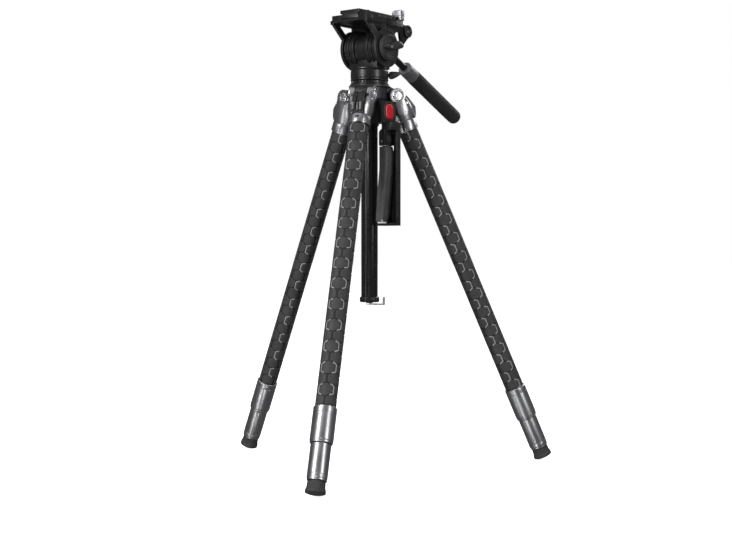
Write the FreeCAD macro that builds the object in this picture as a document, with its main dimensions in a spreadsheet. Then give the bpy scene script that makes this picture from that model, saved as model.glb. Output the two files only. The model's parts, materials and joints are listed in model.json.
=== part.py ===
import FreeCAD, Part
import math
import os
import re
import Sketcher
from FreeCAD import Placement, Rotation, Vector

# A video tripod with a fluid head, folded to its shortest height with the legs spread.
# Millimetres, +Z up, origin on the floor under the centre column.
# The front leg points along -Y, the right leg to 30 degrees and the left leg to 150 degrees.
# Heights are above the floor. Along a leg, sizes count down the leg from its pivot.

DIMENSIONS = {
    # Where the legs hang
    "pivot_radius": 40.6, "pivot_height": 588.0, "leg_tilt": 23.66,
    # Leg yoke, the cast fork around a lug of the spider
    "yoke_half_width": 20.0, "ear_radius": 12.5, "yoke_gap_half": 10.2, "yoke_gap_depth": 14.0,
    "yoke_body_radius": 21.5, "yoke_waist": 26.0, "yoke_seam": 42.0, "seam_depth": 0.6,
    "yoke_shoulder_half": 15.0, "yoke_collar_radius": 17.5, "yoke_end": 58.0, "tab_slot_face": 11.9,
    "tab_slot_end": 43.5, "tab_slot_start": 5.0,
    # Leg pivot bolt and its caps
    "bolt_radius": 4.0, "bolt_cap_radius": 7.8, "bolt_cap_inner": 19.0, "bolt_cap_outer": 20.6,
    "running_gap": 0.05, "fixed_gap": 0.02, "free_gap": 0.3,
    # Angle tab on the outside of the yoke
    "tab_half_width": 9.7, "tab_face": 12.4, "tab_pin_x": 15.4, "tab_pin_depth": 9.5,
    "tab_pin_radius": 1.8, "tab_pin_half": 14.0, "tab_top": 5.0, "tab_crest": 24.6,
    "tab_crest_depth": 27.0, "tab_lip": 20.6, "tab_lip_depth": 38.0, "tab_end": 43.0,
    # Leg tubes, grip wrap and twist locks
    "outer_tube_radius": 14.3, "outer_tube_bore": 12.9, "outer_tube_start": 46.0,
    "outer_tube_end": 530.0, "wrap_radius": 15.3, "wrap_start": 58.2, "wrap_end": 511.0,
    "upper_lock_radius": 17.15, "upper_lock_start": 511.2, "upper_lock_end": 564.6,
    "middle_tube_radius": 12.6, "middle_tube_bore": 11.3, "middle_tube_start": 90.0,
    "middle_tube_end": 590.0, "lower_lock_radius": 14.9, "lower_lock_start": 564.9,
    "lower_lock_end": 618.3, "lock_edge": 1.2, "lock_ring_width": 3.0, "lock_ring_depth": 0.5,
    "inner_tube_radius": 11.0, "inner_tube_bore": 9.8, "inner_tube_start": 110.0,
    "inner_tube_end": 618.5,
    # Rubber foot
    "foot_plug_start": 600.0, "foot_top": 618.6, "foot_top_radius": 12.75, "foot_waist": 626.0,
    "foot_rim_radius": 15.0, "foot_rim_start": 631.5, "foot_rim": 635.4, "foot_dome": 637.4,
    "foot_dome_radius": 9.0,
    # Spider
    "hub_bottom": 545.0, "hub_radius": 22.0, "hub_flare_start": 574.0, "hub_flare_end": 583.0,
    "hub_top_radius": 28.3, "hub_plate_radius": 33.0, "hub_plate_bottom": 601.5, "hub_top": 604.7,
    "hub_bore": 15.0, "lug_half_width": 9.9, "lug_radius": 11.0, "lug_root": 18.0,
    "lug_crown": 29.0, "grip_boss_half": 12.0, "grip_boss_bottom": 548.0, "grip_boss_top": 574.0,
    "clamp_boss_radius": 8.0, "clamp_boss_end": 29.0, "clamp_height": 558.0,
    # Column bushing, column, top plate, end knob and weight hook
    "bushing_bottom": 541.0, "bushing_top": 600.0, "column_radius": 13.2, "column_bore": 11.4,
    "column_bottom": 270.0, "column_top": 604.9, "groove_width": 3.4, "groove_depth": 0.8,
    "plate_bottom": 605.0, "plate_top": 607.0, "plate_radius": 31.0, "plug_length": 16.0,
    "stud_radius": 4.76, "stud_top": 618.0, "stud_bottom": 592.0,
    "end_knob_radius": 15.5, "end_knob_bottom": 261.0, "end_knob_edge": 1.5, "scallop_radius": 2.2,
    "hook_bottom": 256.6, "hook_thickness": 2.4, "hook_back": 5.0, "hook_reach": 24.0,
    "hook_tip": 269.4, "hook_half_width": 5.0, "hook_pin_radius": 2.5, "hook_pin_top": 268.0,
    "hook_azimuth": 0.0,
    # Column clamp knob
    "clamp_stem_radius": 3.0, "clamp_stem_start": 15.3, "clamp_knob_start": 29.4,
    "clamp_knob_end": 45.0, "clamp_knob_radius": 10.5,
    # Squeeze grip, measured outwards from the column axis
    "grip_azimuth": -32.0, "housing_start": 30.2, "housing_end": 45.0, "housing_half": 16.0,
    "housing_bottom": 543.0, "housing_top": 577.0, "housing_chamfer": 4.0,
    "button_half_width": 8.4, "button_bottom": 549.0, "button_top": 573.0, "button_round": 4.5,
    "button_start": 40.5, "button_end": 47.0, "button_pocket": 37.5,
    "frame_head_start": 33.5, "frame_head_end": 46.5, "frame_head_half": 11.5,
    "frame_head_bottom": 508.0, "frame_head_top": 533.0, "frame_head_bevel": 4.0,
    "neck_start": 38.0, "neck_half": 10.0, "neck_overlap": 2.0,
    "back_plate_start": 44.0, "back_plate_inner": 10.5, "back_plate_outer": 12.5,
    "lip_start": 55.0, "lip_end": 58.0, "lip_inner": 3.5, "rail_top": 540.0,
    "rail_bottom": 382.0, "foot_plate_top": 386.0, "foot_plate_start": 25.0,
    "lever_slot_half": 5.3, "lever_slot_start": 35.0, "lever_slot_end": 45.4,
    "lever_slot_top": 519.5, "lever_pin_x": 40.0, "lever_pin_height": 514.0,
    "lever_pin_radius": 2.0, "lever_half_width": 10.0, "lever_tang_half": 5.0,
    "lever_tang_radius": 4.5, "lever_round": 4.0,
    "lever_top": 506.0, "lever_top_back": 33.0, "lever_top_front": 45.0,
    "lever_shoulder": 496.0, "lever_shoulder_front": 47.7,
    "lever_upper": 470.0, "lever_upper_back": 33.0, "lever_upper_front": 47.0,
    "lever_lower": 430.0, "lever_lower_back": 28.0, "lever_lower_front": 42.5,
    "lever_bottom": 389.0, "lever_bottom_back": 25.0, "lever_bottom_front": 38.5,
    # Head base and pan housing
    "base_ring_top": 611.4, "base_ring_radius": 29.4, "spigot_radius": 12.0, "spigot_top": 623.0,
    "pan_bottom": 611.8, "pan_top": 629.5, "pan_radius": 30.1, "pan_edge": 1.2,
    "pan_groove_height": 614.6, "pan_groove_width": 1.0, "pan_groove_depth": 0.6,
    # Pan lock lever
    "pan_lever_azimuth": 14.9, "pan_lever_height": 621.5, "pan_stem_radius": 3.0,
    "pan_stem_start": 20.0, "pan_wing_start": 31.0, "pan_wing_end": 50.5,
    "pan_wing_half_height": 6.5, "pan_wing_half_width": 4.5, "pan_wing_root": 5.0,
    "pan_wing_taper": 6.0, "pan_wing_taper_half": 4.0, "pan_wing_tip_half": 1.5,
    # Fluid drum and tilt shaft, along the tilt axis
    "head_azimuth": -23.4, "tilt_height": 662.6, "drum_radius": 29.0, "drum_half": 29.6,
    "drum_edge": 1.5, "core_radius": 25.5, "core_half": 10.0, "stand_radius": 29.0,
    "stand_top": 633.0, "saddle_half_length": 28.0, "saddle_half_width": 17.0, "saddle_top": 645.0,
    "shaft_radius": 12.0, "shaft_half": 34.4, "shaft_bore": 3.5,
    # Tilt cradle
    "disc_radius": 31.0, "disc_inner": 30.2, "disc_outer": 34.6,
    "strut_low_y": -26.0, "strut_low_rise": 12.4, "strut_high_y": -20.0, "strut_high_rise": 21.4,
    "strut_inner_y": -38.0, "web_front": -3.0, "web_front_rise": 30.0, "web_root": 20.0,
    "web_root_rise": 22.0, "web_low": 27.0, "web_low_rise": 12.0, "web_rear": 39.0,
    "web_rear_rise": 28.0, "brace_front": 4.0, "brace_root": 6.0, "brace_root_rise": 28.0,
    "brace_low": 20.0, "brace_low_rise": 21.0, "brace_back": 24.0, "brace_back_rise": 27.0,
    "brace_rear": 34.0, "brace_rear_rise": 28.5,
    "arm_root": 25.0, "arm_root_rise": 10.5, "arm_low": 28.0, "arm_low_rise": 1.5,
    "arm_bend": 42.0, "arm_bend_rise": 7.4, "arm_tip": 57.0, "arm_tip_rise": 21.5,
    "arm_inner": 43.0, "arm_waist": 37.6, "arm_waist_rise": 13.5,
    "deck_half_width": 36.7, "deck_front": -53.0, "deck_back": 40.0, "deck_bottom": 699.0,
    "deck_web": 701.0, "deck_floor": 706.0, "deck_top": 713.0, "web_half": 30.0,
    "slot_floor_half": 18.5, "slot_mouth_half": 15.9, "tail_half_width": 29.0, "tail_end": 55.0,
    "recess_end": -49.0, "recess_side": 22.0, "recess_bottom": 705.0,
    "rosette_y": 53.0, "rosette_height": 694.2, "rosette_radius": 10.2,
    "near_boss_end": 35.8, "far_boss_end": 31.0, "boss_root": 24.0,
    # Tilt lock knob and drag knob
    "knob_start": 35.0, "knob_end": 42.0, "knob_radius": 21.5, "knob_edge": 1.5,
    "knob_rim": 4.0, "dish_slope": 0.8, "dish_depth": 0.8,
    "knob_stem_radius": 3.4, "knob_stem_start": 24.0, "wing_start": 40.0, "wing_end": 49.0,
    "drag_radius": 18.0, "drag_end": 46.0,
    # Sliding plate, camera screw, plate pad and plate lock lever
    "plate_front": -50.4, "plate_back": 40.0, "plate_half": 19.0, "plate_under": 714.3,
    "plate_face": 719.7, "tongue_mouth_half": 15.0, "tongue_floor_half": 18.0,
    "tongue_bottom": 706.5, "screw_y": -5.0, "screw_radius": 3.175, "screw_top": 725.2,
    "screw_hole": 3.4, "screw_head_radius": 7.0, "screw_pocket": 7.3, "screw_head_bottom": 708.0,
    "screw_head_top": 713.2, "pocket_top": 713.6, "screw_neck_radius": 3.0,
    "screw_neck_top": 720.3, "screw_tip": 0.6, "pad_depth": 1.0, "pad_rise": 0.4,
    "pad_half": 15.0, "pad_margin": 5.0, "pad_hole": 8.0,
    "lock_y": 28.0, "lock_x": 33.5, "lock_half_length": 6.0,
    "lock_inner": 27.0, "lock_outer": 45.0, "lock_bottom": 713.3, "lock_top": 725.0,
    "lock_skirt": 40.0, "lock_skirt_bottom": 708.0, "lock_pin_radius": 2.0,
    "lock_pin_bottom": 704.0,
    # Pan handle, along its own axis from the rosette
    "handle_x": -37.5, "handle_dip": 26.0, "clamp_half": 6.2, "clamp_radius": 11.0,
    "sleeve_radius": 8.2, "sleeve_start": 10.7, "sleeve_end": 30.0, "rod_radius": 6.0,
    "rod_start": 13.0, "rod_end": 250.0,
    "ring_radius": 12.2, "ring_start": 99.0, "ring_end": 127.0, "grip_radius": 12.6,
    "grip_start": 127.1, "grip_end": 271.0, "grip_round": 10.0, "rosette_cap_start": 36.0,
    "rosette_cap_end": 38.4, "rosette_step": 0.7, "rosette_ring_outer": 7.6,
    "rosette_ring_inner": 5.6, "rosette_socket": 3.2, "rosette_socket_depth": 1.4,
}

# Corners of the lever wing across the tilt knob: along the wing, then above the tilt axis
KNOB_WING = [(-18, -2.5), (-18, 2.5), (0, 6.0), (12, 12.0), (22, 11.0), (29, 5.5), (28, 2.5),
             (20, -1.0), (10, -4.5)]

LEG_AZIMUTHS = {"front": -90.0, "right": 30.0, "left": 150.0}

ALONG_X = Rotation(Vector(0, 1, 0), 90)
ALONG_Y = Rotation(Vector(1, 0, 0), -90)

doc = FreeCAD.newDocument("tripod_with_fluid_head")
sheet = doc.addObject("Spreadsheet::Sheet", "Dimensions")
for row, (alias, size) in enumerate(DIMENSIONS.items(), start=1):
    sheet.set(f"A{row}", alias)
    sheet.set(f"B{row}", str(size))
    sheet.setAlias(f"B{row}", alias)
doc.recompute()

subparts = []


def bound(size):
    """Point each dimension named in an expression at its cell."""
    def cell(match):
        word = match.group()
        return f"Dimensions.{word}" if word in DIMENSIONS else word
    return re.sub(r"[a-z_]+", cell, str(size))


def number(size):
    """Work out an expression's present value."""
    return float(sheet.evalExpression(bound(size)))


def bind(item, **properties):
    """Set properties from expressions on the sheet's cells."""
    for name, size in properties.items():
        item.setExpression(name, bound(size))


def locate(item, x, y, z, turn=Rotation()):
    """Place a primitive inside its piece, each coordinate bound to the sheet."""
    item.Placement = Placement(Vector(number(x), number(y), number(z)), turn)
    for axis, size in zip("xyz", (x, y, z)):
        item.setExpression(f"Placement.Base.{axis}", bound(size))


def box(x, y, z):
    """A box between two values on each axis."""
    item = doc.addObject("Part::Box", "Box")
    bind(item, Length=f"{x[1]} - ({x[0]})", Width=f"{y[1]} - ({y[0]})", Height=f"{z[1]} - ({z[0]})")
    locate(item, x[0], y[0], z[0])
    return item


def cylinder(radius, x=0, y=0, z=0):
    """A cylinder along the one axis that is given as a pair of values."""
    item = doc.addObject("Part::Cylinder", "Cylinder")
    start, end = next(pair for pair in (x, y, z) if isinstance(pair, tuple))
    bind(item, Radius=radius, Height=f"{end} - ({start})")
    turn = Rotation()
    if isinstance(x, tuple):
        turn, x = ALONG_X, start
    elif isinstance(y, tuple):
        turn, y = ALONG_Y, start
    else:
        z = start
    locate(item, x, y, z, turn)
    return item


def outline_sketch(body, plane, points):
    """Draw a closed outline on the body's own plane, every corner bound to the sheet."""
    sketch = body.newObject("Sketcher::SketchObject", "Outline")
    support = next(item for item in body.Origin.OriginFeatures if item.Role == plane)
    sketch.AttachmentSupport = [(support, "")]
    sketch.MapMode = "FlatFace"
    corners = [Vector(number(across), number(up), 0) for across, up in points]
    following = corners[1:] + corners[:1]
    sketch.addGeometry([Part.LineSegment(a, b) for a, b in zip(corners, following)], False)
    constraints, expressions = [], {}
    for index, (corner, point) in enumerate(zip(corners, points)):
        after = (index + 1) % len(points)
        constraints.append(Sketcher.Constraint("Coincident", index, 2, after, 1))
        for kind, value, size, axis_line in (
            ("DistanceX", corner.x, point[0], -2),
            ("DistanceY", corner.y, point[1], -1),
        ):
            if value == 0:
                constraints.append(Sketcher.Constraint("PointOnObject", index, 1, axis_line))
            else:
                expressions[len(constraints)] = size
                constraints.append(Sketcher.Constraint(kind, -1, 1, index, 1, value))
    sketch.addConstraint(constraints)
    for index, size in expressions.items():
        sketch.setExpression(f"Constraints[{index}]", bound(size))
    return sketch


def turned(points, turn=Rotation(), at=(0, 0, 0)):
    """A body turned about its own Z axis from (radius, height) corners."""
    body = doc.addObject("PartDesign::Body", "Turned")
    sketch = outline_sketch(body, "XZ_Plane", points)
    revolution = body.newObject("PartDesign::Revolution", "Revolution")
    revolution.Profile = sketch
    revolution.ReferenceAxis = (sketch, ["V_Axis"])
    revolution.Angle = 360
    locate(body, *at, turn)
    return body


def padded(points, half_width, plane="XZ_Plane"):
    """A body padded to both sides of one of its own planes."""
    body = doc.addObject("PartDesign::Body", "Padded")
    sketch = outline_sketch(body, plane, points)
    pad = body.newObject("PartDesign::Pad", "Pad")
    pad.Profile = sketch
    pad.SideType = "Symmetric"
    bind(pad, Length=f"2 * ({half_width})")
    return body


PLANES = {"x": "YZ_Plane", "y": "XZ_Plane", "z": "XY_Plane"}


def prism(points, **span):
    """An outline run between two values of the axis that is named."""
    (axis, (start, end)), = span.items()
    body = padded(points, f"({end} - ({start})) / 2", PLANES[axis])
    body.setExpression(f"Placement.Base.{axis}", bound(f"({start} + {end}) / 2"))
    return body


def swung(azimuth, item):
    """Swing part of a piece to an azimuth about the column axis."""
    holder = doc.addObject("Part::Compound", "Swung")
    holder.Links = [item]
    holder.Placement = radial_frame(azimuth)
    return holder


def joined(*items):
    """Fuse pieces into one solid."""
    fuse = doc.addObject("Part::MultiFuse", "Fuse")
    fuse.Shapes = list(items)
    fuse.Refine = True
    return fuse


def cut(base, *tools):
    """Take tools away from a piece."""
    result = doc.addObject("Part::Cut", "Cut")
    result.Base = base
    result.Tool = tools[0] if len(tools) == 1 else joined(*tools)
    result.Refine = True
    return result


def common(first, second):
    """Keep what two pieces share."""
    result = doc.addObject("Part::Common", "Common")
    result.Base = first
    result.Tool = second
    result.Refine = True
    return result


def softened(base, radius, chosen, kind="Part::Fillet"):
    """Round or bevel the edges that a test chooses."""
    doc.recompute()
    result = doc.addObject(kind, "Softened")
    result.Base = base
    size = number(radius)
    edges = enumerate(base.Shape.Edges, start=1)
    result.Edges = [(index, size, size) for index, edge in edges if chosen(edge)]
    return result


def subpart(item, name, frame=Placement()):
    """Name a finished piece and put it in its frame."""
    for path, _ in item.ExpressionEngine:
        if path.startswith(".Placement") or path.startswith("Placement"):
            item.setExpression(path, None)
    item.Label = name
    item.Placement = frame.multiply(item.Placement)
    subparts.append(item)


def radial_frame(azimuth):
    """X points outwards at an azimuth."""
    return Placement(Vector(), Rotation(Vector(0, 0, 1), azimuth))


def leg_frame(azimuth):
    """Origin at a leg's pivot, Z up along the leg, X on its outer side."""
    turn = radial_frame(azimuth)
    hang = Placement(
        Vector(number("pivot_radius"), 0, number("pivot_height")),
        Rotation(Vector(0, 1, 0), -number("leg_tilt")),
    )
    return turn.multiply(hang)


def ring_profile(inner, outer, low, high, edge=0):
    """A tube's section with bevelled outer edges."""
    return [
        (inner, low), (f"{outer} - {edge}", low), (outer, f"{low} + {edge}"),
        (outer, f"{high} - {edge}"), (f"{outer} - {edge}", high), (inner, high),
    ] if edge else [(inner, low), (outer, low), (outer, high), (inner, high)]


# ---- Legs ----

def leg_yoke():
    """Fork with two round ears, a slot for the angle tab and a collar for the tube."""
    side = padded([
        ("-ear_radius", 0), ("ear_radius", 0), ("yoke_shoulder_half", "-yoke_gap_depth"),
        ("yoke_collar_radius", "-yoke_waist"), ("yoke_collar_radius", "-yoke_end"),
        ("-yoke_collar_radius", "-yoke_end"), ("-yoke_collar_radius", "-yoke_waist"),
        ("-yoke_shoulder_half", "-yoke_gap_depth"),
    ], "yoke_half_width")
    round_body = turned([
        (0, "ear_radius"), ("yoke_body_radius", "ear_radius"), ("yoke_body_radius", "-yoke_waist"),
        ("yoke_collar_radius", "-yoke_seam"), ("yoke_collar_radius - seam_depth", "-yoke_seam - 0.2"),
        ("yoke_collar_radius - seam_depth", "-yoke_seam - 1.0"),
        ("yoke_collar_radius", "-yoke_seam - 1.2"), ("yoke_collar_radius", "-yoke_end"),
        (0, "-yoke_end"),
    ])
    bosses = cylinder("ear_radius", y=("-yoke_half_width", "yoke_half_width"))
    solid = joined(common(side, round_body), bosses)
    lug_gap = box(("-30", "30"), ("-yoke_gap_half", "yoke_gap_half"), ("-yoke_gap_depth", "30"))
    tab_slot = box(("tab_slot_face", "30"), ("-yoke_gap_half", "yoke_gap_half"),
                   ("-tab_slot_end", "-tab_slot_start"))
    socket = cylinder("outer_tube_radius + fixed_gap", z=("-yoke_end - 1", "-outer_tube_start + 0.5"))
    bolt_hole = cylinder("bolt_radius + fixed_gap", y=("-30", "30"))
    pin_hole = cylinder("tab_pin_radius + running_gap", "tab_pin_x",
                        ("-tab_pin_half - free_gap", "tab_pin_half + free_gap"), "-tab_pin_depth")
    recesses = [
        cylinder("bolt_cap_radius + 0.2", y=("bolt_cap_inner - 0.1", "30")),
        cylinder("bolt_cap_radius + 0.2", y=("-30", "0.1 - bolt_cap_inner")),
    ]
    return cut(solid, lug_gap, tab_slot, socket, bolt_hole, pin_hole, *recesses)


def leg_pivot_bolt():
    """Bolt through the ears and the lug, with a cap on each end."""
    return turned([
        (0, "-bolt_cap_outer"), ("bolt_cap_radius - 1", "-bolt_cap_outer"),
        ("bolt_cap_radius", "1 - bolt_cap_outer"), ("bolt_cap_radius", "-bolt_cap_inner"),
        ("bolt_radius", "-bolt_cap_inner"), ("bolt_radius", "bolt_cap_inner"),
        ("bolt_cap_radius", "bolt_cap_inner"), ("bolt_cap_radius", "bolt_cap_outer - 1"),
        ("bolt_cap_radius - 1", "bolt_cap_outer"), (0, "bolt_cap_outer"),
    ], ALONG_Y)


def leg_angle_tab():
    """Sprung tab that sets the leg's angle, on a cross pin in the ears."""
    tab = padded([
        ("tab_face", "-tab_top"), ("tab_pin_x + 2.4", "-tab_top"), ("tab_pin_x + 4", "-tab_pin_depth"),
        ("tab_crest", "-tab_crest_depth"), ("tab_lip", "-tab_lip_depth"),
        ("tab_lip - 3.6", "-tab_end"), ("tab_face", "-tab_end"),
    ], "tab_half_width")
    pin = cylinder("tab_pin_radius", "tab_pin_x", ("-tab_pin_half", "tab_pin_half"), "-tab_pin_depth")
    groove = box(("tab_pin_x + 4.5", "30"), ("-1.6", "1.6"), ("-tab_lip_depth", "-tab_pin_depth - 4"))
    return cut(joined(tab, pin), groove)


def leg_foot():
    """Rubber foot with a plug in the inner tube, a flared rim and a low dome."""
    return turned([
        (0, "-foot_plug_start"), ("inner_tube_bore - fixed_gap", "-foot_plug_start"),
        ("inner_tube_bore - fixed_gap", "-foot_top"), ("foot_top_radius", "-foot_top"),
        ("foot_top_radius + 0.4", "-foot_waist"), ("foot_rim_radius", "-foot_rim_start"),
        ("foot_rim_radius", "-foot_rim"), ("foot_dome_radius", "-foot_rim - 1.5"),
        (0, "-foot_dome"),
    ])


def upper_lock():
    """Large twist-lock collar that clamps the middle tube."""
    step = "-outer_tube_end - 0.1"
    return turned([
        ("outer_tube_radius + fixed_gap", "-upper_lock_start"),
        ("upper_lock_radius - lock_edge", "-upper_lock_start"),
        ("upper_lock_radius", "-upper_lock_start - lock_edge"),
        ("upper_lock_radius", "lock_ring_width + lock_edge - upper_lock_end"),
        ("upper_lock_radius - lock_ring_depth", "lock_ring_width - upper_lock_end"),
        ("upper_lock_radius - lock_ring_depth", "-upper_lock_end"),
        ("middle_tube_radius + free_gap", "-upper_lock_end"),
        ("middle_tube_radius + free_gap", step), ("outer_tube_radius + fixed_gap", step),
    ])


def lower_lock():
    """Smaller twist-lock collar on the middle tube's end, which clamps the inner tube."""
    step = "-middle_tube_end - 0.1"
    return turned([
        ("middle_tube_radius + fixed_gap", "-lower_lock_start"),
        ("lower_lock_radius - lock_edge", "-lower_lock_start"),
        ("lower_lock_radius", "-lower_lock_start - lock_edge"),
        ("lower_lock_radius", "lock_ring_width + lock_edge - lower_lock_end"),
        ("lower_lock_radius - lock_ring_depth", "lock_ring_width - lower_lock_end"),
        ("lower_lock_radius - lock_ring_depth", "-lower_lock_end"),
        ("inner_tube_radius + free_gap", "-lower_lock_end"),
        ("inner_tube_radius + free_gap", step), ("middle_tube_radius + fixed_gap", step),
    ])


def leg_tube(part):
    """One straight tube of a leg: outer, middle or inner."""
    return turned(ring_profile(f"{part}_tube_bore", f"{part}_tube_radius",
                               f"-{part}_tube_end", f"-{part}_tube_start"))


def grip_wrap():
    """Moulded sleeve over the outer tube."""
    return turned(ring_profile("outer_tube_radius + fixed_gap", "wrap_radius",
                               "-wrap_end", "-wrap_start"))


for leg, azimuth in LEG_AZIMUTHS.items():
    frame = leg_frame(azimuth)
    subpart(leg_yoke(), f"{leg}_leg_yoke", frame)
    subpart(leg_pivot_bolt(), f"{leg}_leg_pivot_bolt", frame)
    subpart(leg_angle_tab(), f"{leg}_leg_angle_tab", frame)
    subpart(leg_tube("outer"), f"{leg}_leg_outer_tube", frame)
    subpart(grip_wrap(), f"{leg}_leg_grip_wrap", frame)
    subpart(upper_lock(), f"{leg}_leg_upper_lock", frame)
    subpart(leg_tube("middle"), f"{leg}_leg_middle_tube", frame)
    subpart(lower_lock(), f"{leg}_leg_lower_lock", frame)
    subpart(leg_tube("inner"), f"{leg}_leg_inner_tube", frame)
    subpart(leg_foot(), f"{leg}_leg_foot", frame)


# ---- Spider and column ----

def spider():
    """Hub with three lugs, a boss for the grip and a boss for the column clamp."""
    hub = turned([
        ("hub_bore", "hub_bottom"), ("hub_radius - 1", "hub_bottom"), ("hub_radius", "hub_bottom + 1"),
        ("hub_radius", "hub_flare_start"), ("hub_top_radius", "hub_flare_end"),
        ("hub_top_radius", "hub_plate_bottom - 1"), ("hub_plate_radius", "hub_plate_bottom"),
        ("hub_plate_radius", "hub_top - 1"), ("hub_plate_radius - 1", "hub_top"),
        ("hub_bore", "hub_top"),
    ])
    parts = [hub]
    for azimuth in LEG_AZIMUTHS.values():
        arm = padded([
            ("lug_root", "pivot_height - lug_radius"), ("pivot_radius", "pivot_height - lug_radius"),
            ("pivot_radius", "pivot_height + lug_radius"), ("lug_crown", "hub_top"),
            ("lug_root", "hub_top"),
        ], "lug_half_width")
        width = ("-lug_half_width", "lug_half_width")
        end = cylinder("lug_radius", "pivot_radius", width, "pivot_height")
        hole = cylinder("bolt_radius + running_gap", "pivot_radius", width, "pivot_height")
        parts.append(swung(azimuth, cut(joined(arm, end), hole)))
    grip_boss = swung(number("grip_azimuth"), box(
        ("hub_bore + 2", "housing_start"), ("-grip_boss_half", "grip_boss_half"),
        ("grip_boss_bottom", "grip_boss_top")))
    clamp_boss = cylinder("clamp_boss_radius", 0, ("hub_bore + 2", "clamp_boss_end"), "clamp_height")
    clamp_hole = cylinder("clamp_stem_radius + running_gap", 0, ("hub_bore - 2", "40"), "clamp_height")
    bore = cylinder("hub_bore", z=("hub_bottom - 5", "hub_top + 5"))
    return cut(joined(*parts, grip_boss, clamp_boss), bore, clamp_hole)


def grooved_column():
    """Tube with six shallow grooves along it."""
    tube = turned(ring_profile("column_bore", "column_radius", "column_bottom", "column_top"))
    grooves = []
    for index in range(6):
        groove = box(("column_radius - groove_depth", "column_radius + 2"),
                     ("-groove_width / 2", "groove_width / 2"),
                     ("column_bottom - 1", "column_top + 1"))
        grooves.append(swung(60 * index + 30, groove))
    return cut(tube, *grooves)


def column_top_plate():
    """Thin flange with a plug in the column's top, bored for the stud."""
    plug = "column_bore - fixed_gap"
    bore = "stud_radius + fixed_gap"
    return turned([
        (bore, "plate_bottom - plug_length"), (plug, "plate_bottom - plug_length"),
        (plug, "plate_bottom"), ("plate_radius", "plate_bottom"), ("plate_radius", "plate_top"),
        (bore, "plate_top"),
    ])


def column_end_knob():
    """Scalloped knob plugged into the column's bottom, bored for the hook's pin."""
    plug = "column_bore - fixed_gap"
    bore = "hook_pin_radius + running_gap"
    knob_top = "column_bottom - 0.1"
    knob = turned([
        (0, "hook_pin_top + free_gap"), (bore, "hook_pin_top + free_gap"), (bore, "end_knob_bottom"),
        ("end_knob_radius - end_knob_edge", "end_knob_bottom"),
        ("end_knob_radius", "end_knob_bottom + end_knob_edge"),
        ("end_knob_radius", f"{knob_top} - end_knob_edge"),
        ("end_knob_radius - end_knob_edge", knob_top), (plug, knob_top),
        (plug, "column_bottom + plug_length"), (0, "column_bottom + plug_length"),
    ])
    scallops = []
    for index in range(12):
        scallop = cylinder("scallop_radius", "end_knob_radius + 1.2", 0,
                           ("end_knob_bottom - 1", "column_bottom + 1"))
        scallops.append(swung(30 * index, scallop))
    return cut(knob, *scallops)


def weight_hook():
    """Flat strip with an upturned tip, on a pin that swivels in the end knob."""
    strip_top = "hook_bottom + hook_thickness"
    strip = padded([
        ("-hook_back", "hook_bottom"), ("hook_reach", "hook_bottom"), ("hook_reach", "hook_tip"),
        ("hook_reach - hook_thickness", "hook_tip"), ("hook_reach - hook_thickness", strip_top),
        ("-hook_back", strip_top),
    ], "hook_half_width")
    pin = cylinder("hook_pin_radius", z=("hook_bottom + 1", "hook_pin_top"))
    washer = cylinder("hook_half_width", z=("hook_bottom + 1", "end_knob_bottom - free_gap"))
    return joined(strip, pin, washer)


def column_lock_knob():
    """Knob whose stem clamps the column through its bushing."""
    return turned([
        (0, "clamp_stem_start"), ("clamp_stem_radius", "clamp_stem_start"),
        ("clamp_stem_radius", "clamp_knob_start"), ("clamp_knob_radius", "clamp_knob_start"),
        ("clamp_knob_radius", "clamp_knob_end - 1.5"), ("clamp_knob_radius - 1.5", "clamp_knob_end"),
        (0, "clamp_knob_end"),
    ], ALONG_X, (0, 0, "clamp_height"))


subpart(spider(), "spider")
subpart(turned(ring_profile("column_radius + running_gap", "hub_bore - fixed_gap",
                            "bushing_bottom", "bushing_top")), "column_bushing")
subpart(grooved_column(), "column_tube")
subpart(column_top_plate(), "column_top_plate")
subpart(turned([(0, "stud_bottom"), ("stud_radius", "stud_bottom"), ("stud_radius", "stud_top"),
                (0, "stud_top")]), "head_stud")
subpart(column_end_knob(), "column_end_knob")
subpart(weight_hook(), "weight_hook", radial_frame(number("hook_azimuth")))
subpart(column_lock_knob(), "column_lock_knob", radial_frame(90))


# ---- Squeeze grip, X outwards from the column and Y across ----

def rounded_block(start, grow):
    """The lock button's rounded rectangle, grown for its pocket."""
    block = box((start, "button_end"),
                (f"-button_half_width - {grow}", f"button_half_width + {grow}"),
                (f"button_bottom - {grow}", f"button_top + {grow}"))
    return softened(block, "button_round", lambda edge: abs(edge.tangentAt(0).x) > 0.9)


def grip_housing():
    """Block on the spider's side with a pocket for the lock button."""
    block = prism([
        ("housing_start", "housing_chamfer - housing_half"),
        ("housing_start", "housing_half - housing_chamfer"),
        ("housing_start + housing_chamfer", "housing_half"), ("housing_end - 1.5", "housing_half"),
        ("housing_end", "housing_half - 1.5"), ("housing_end", "1.5 - housing_half"),
        ("housing_end - 1.5", "-housing_half"), ("housing_start + housing_chamfer", "-housing_half"),
    ], z=("housing_bottom", "housing_top"))
    return cut(block, rounded_block("button_pocket", "free_gap"))


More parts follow.
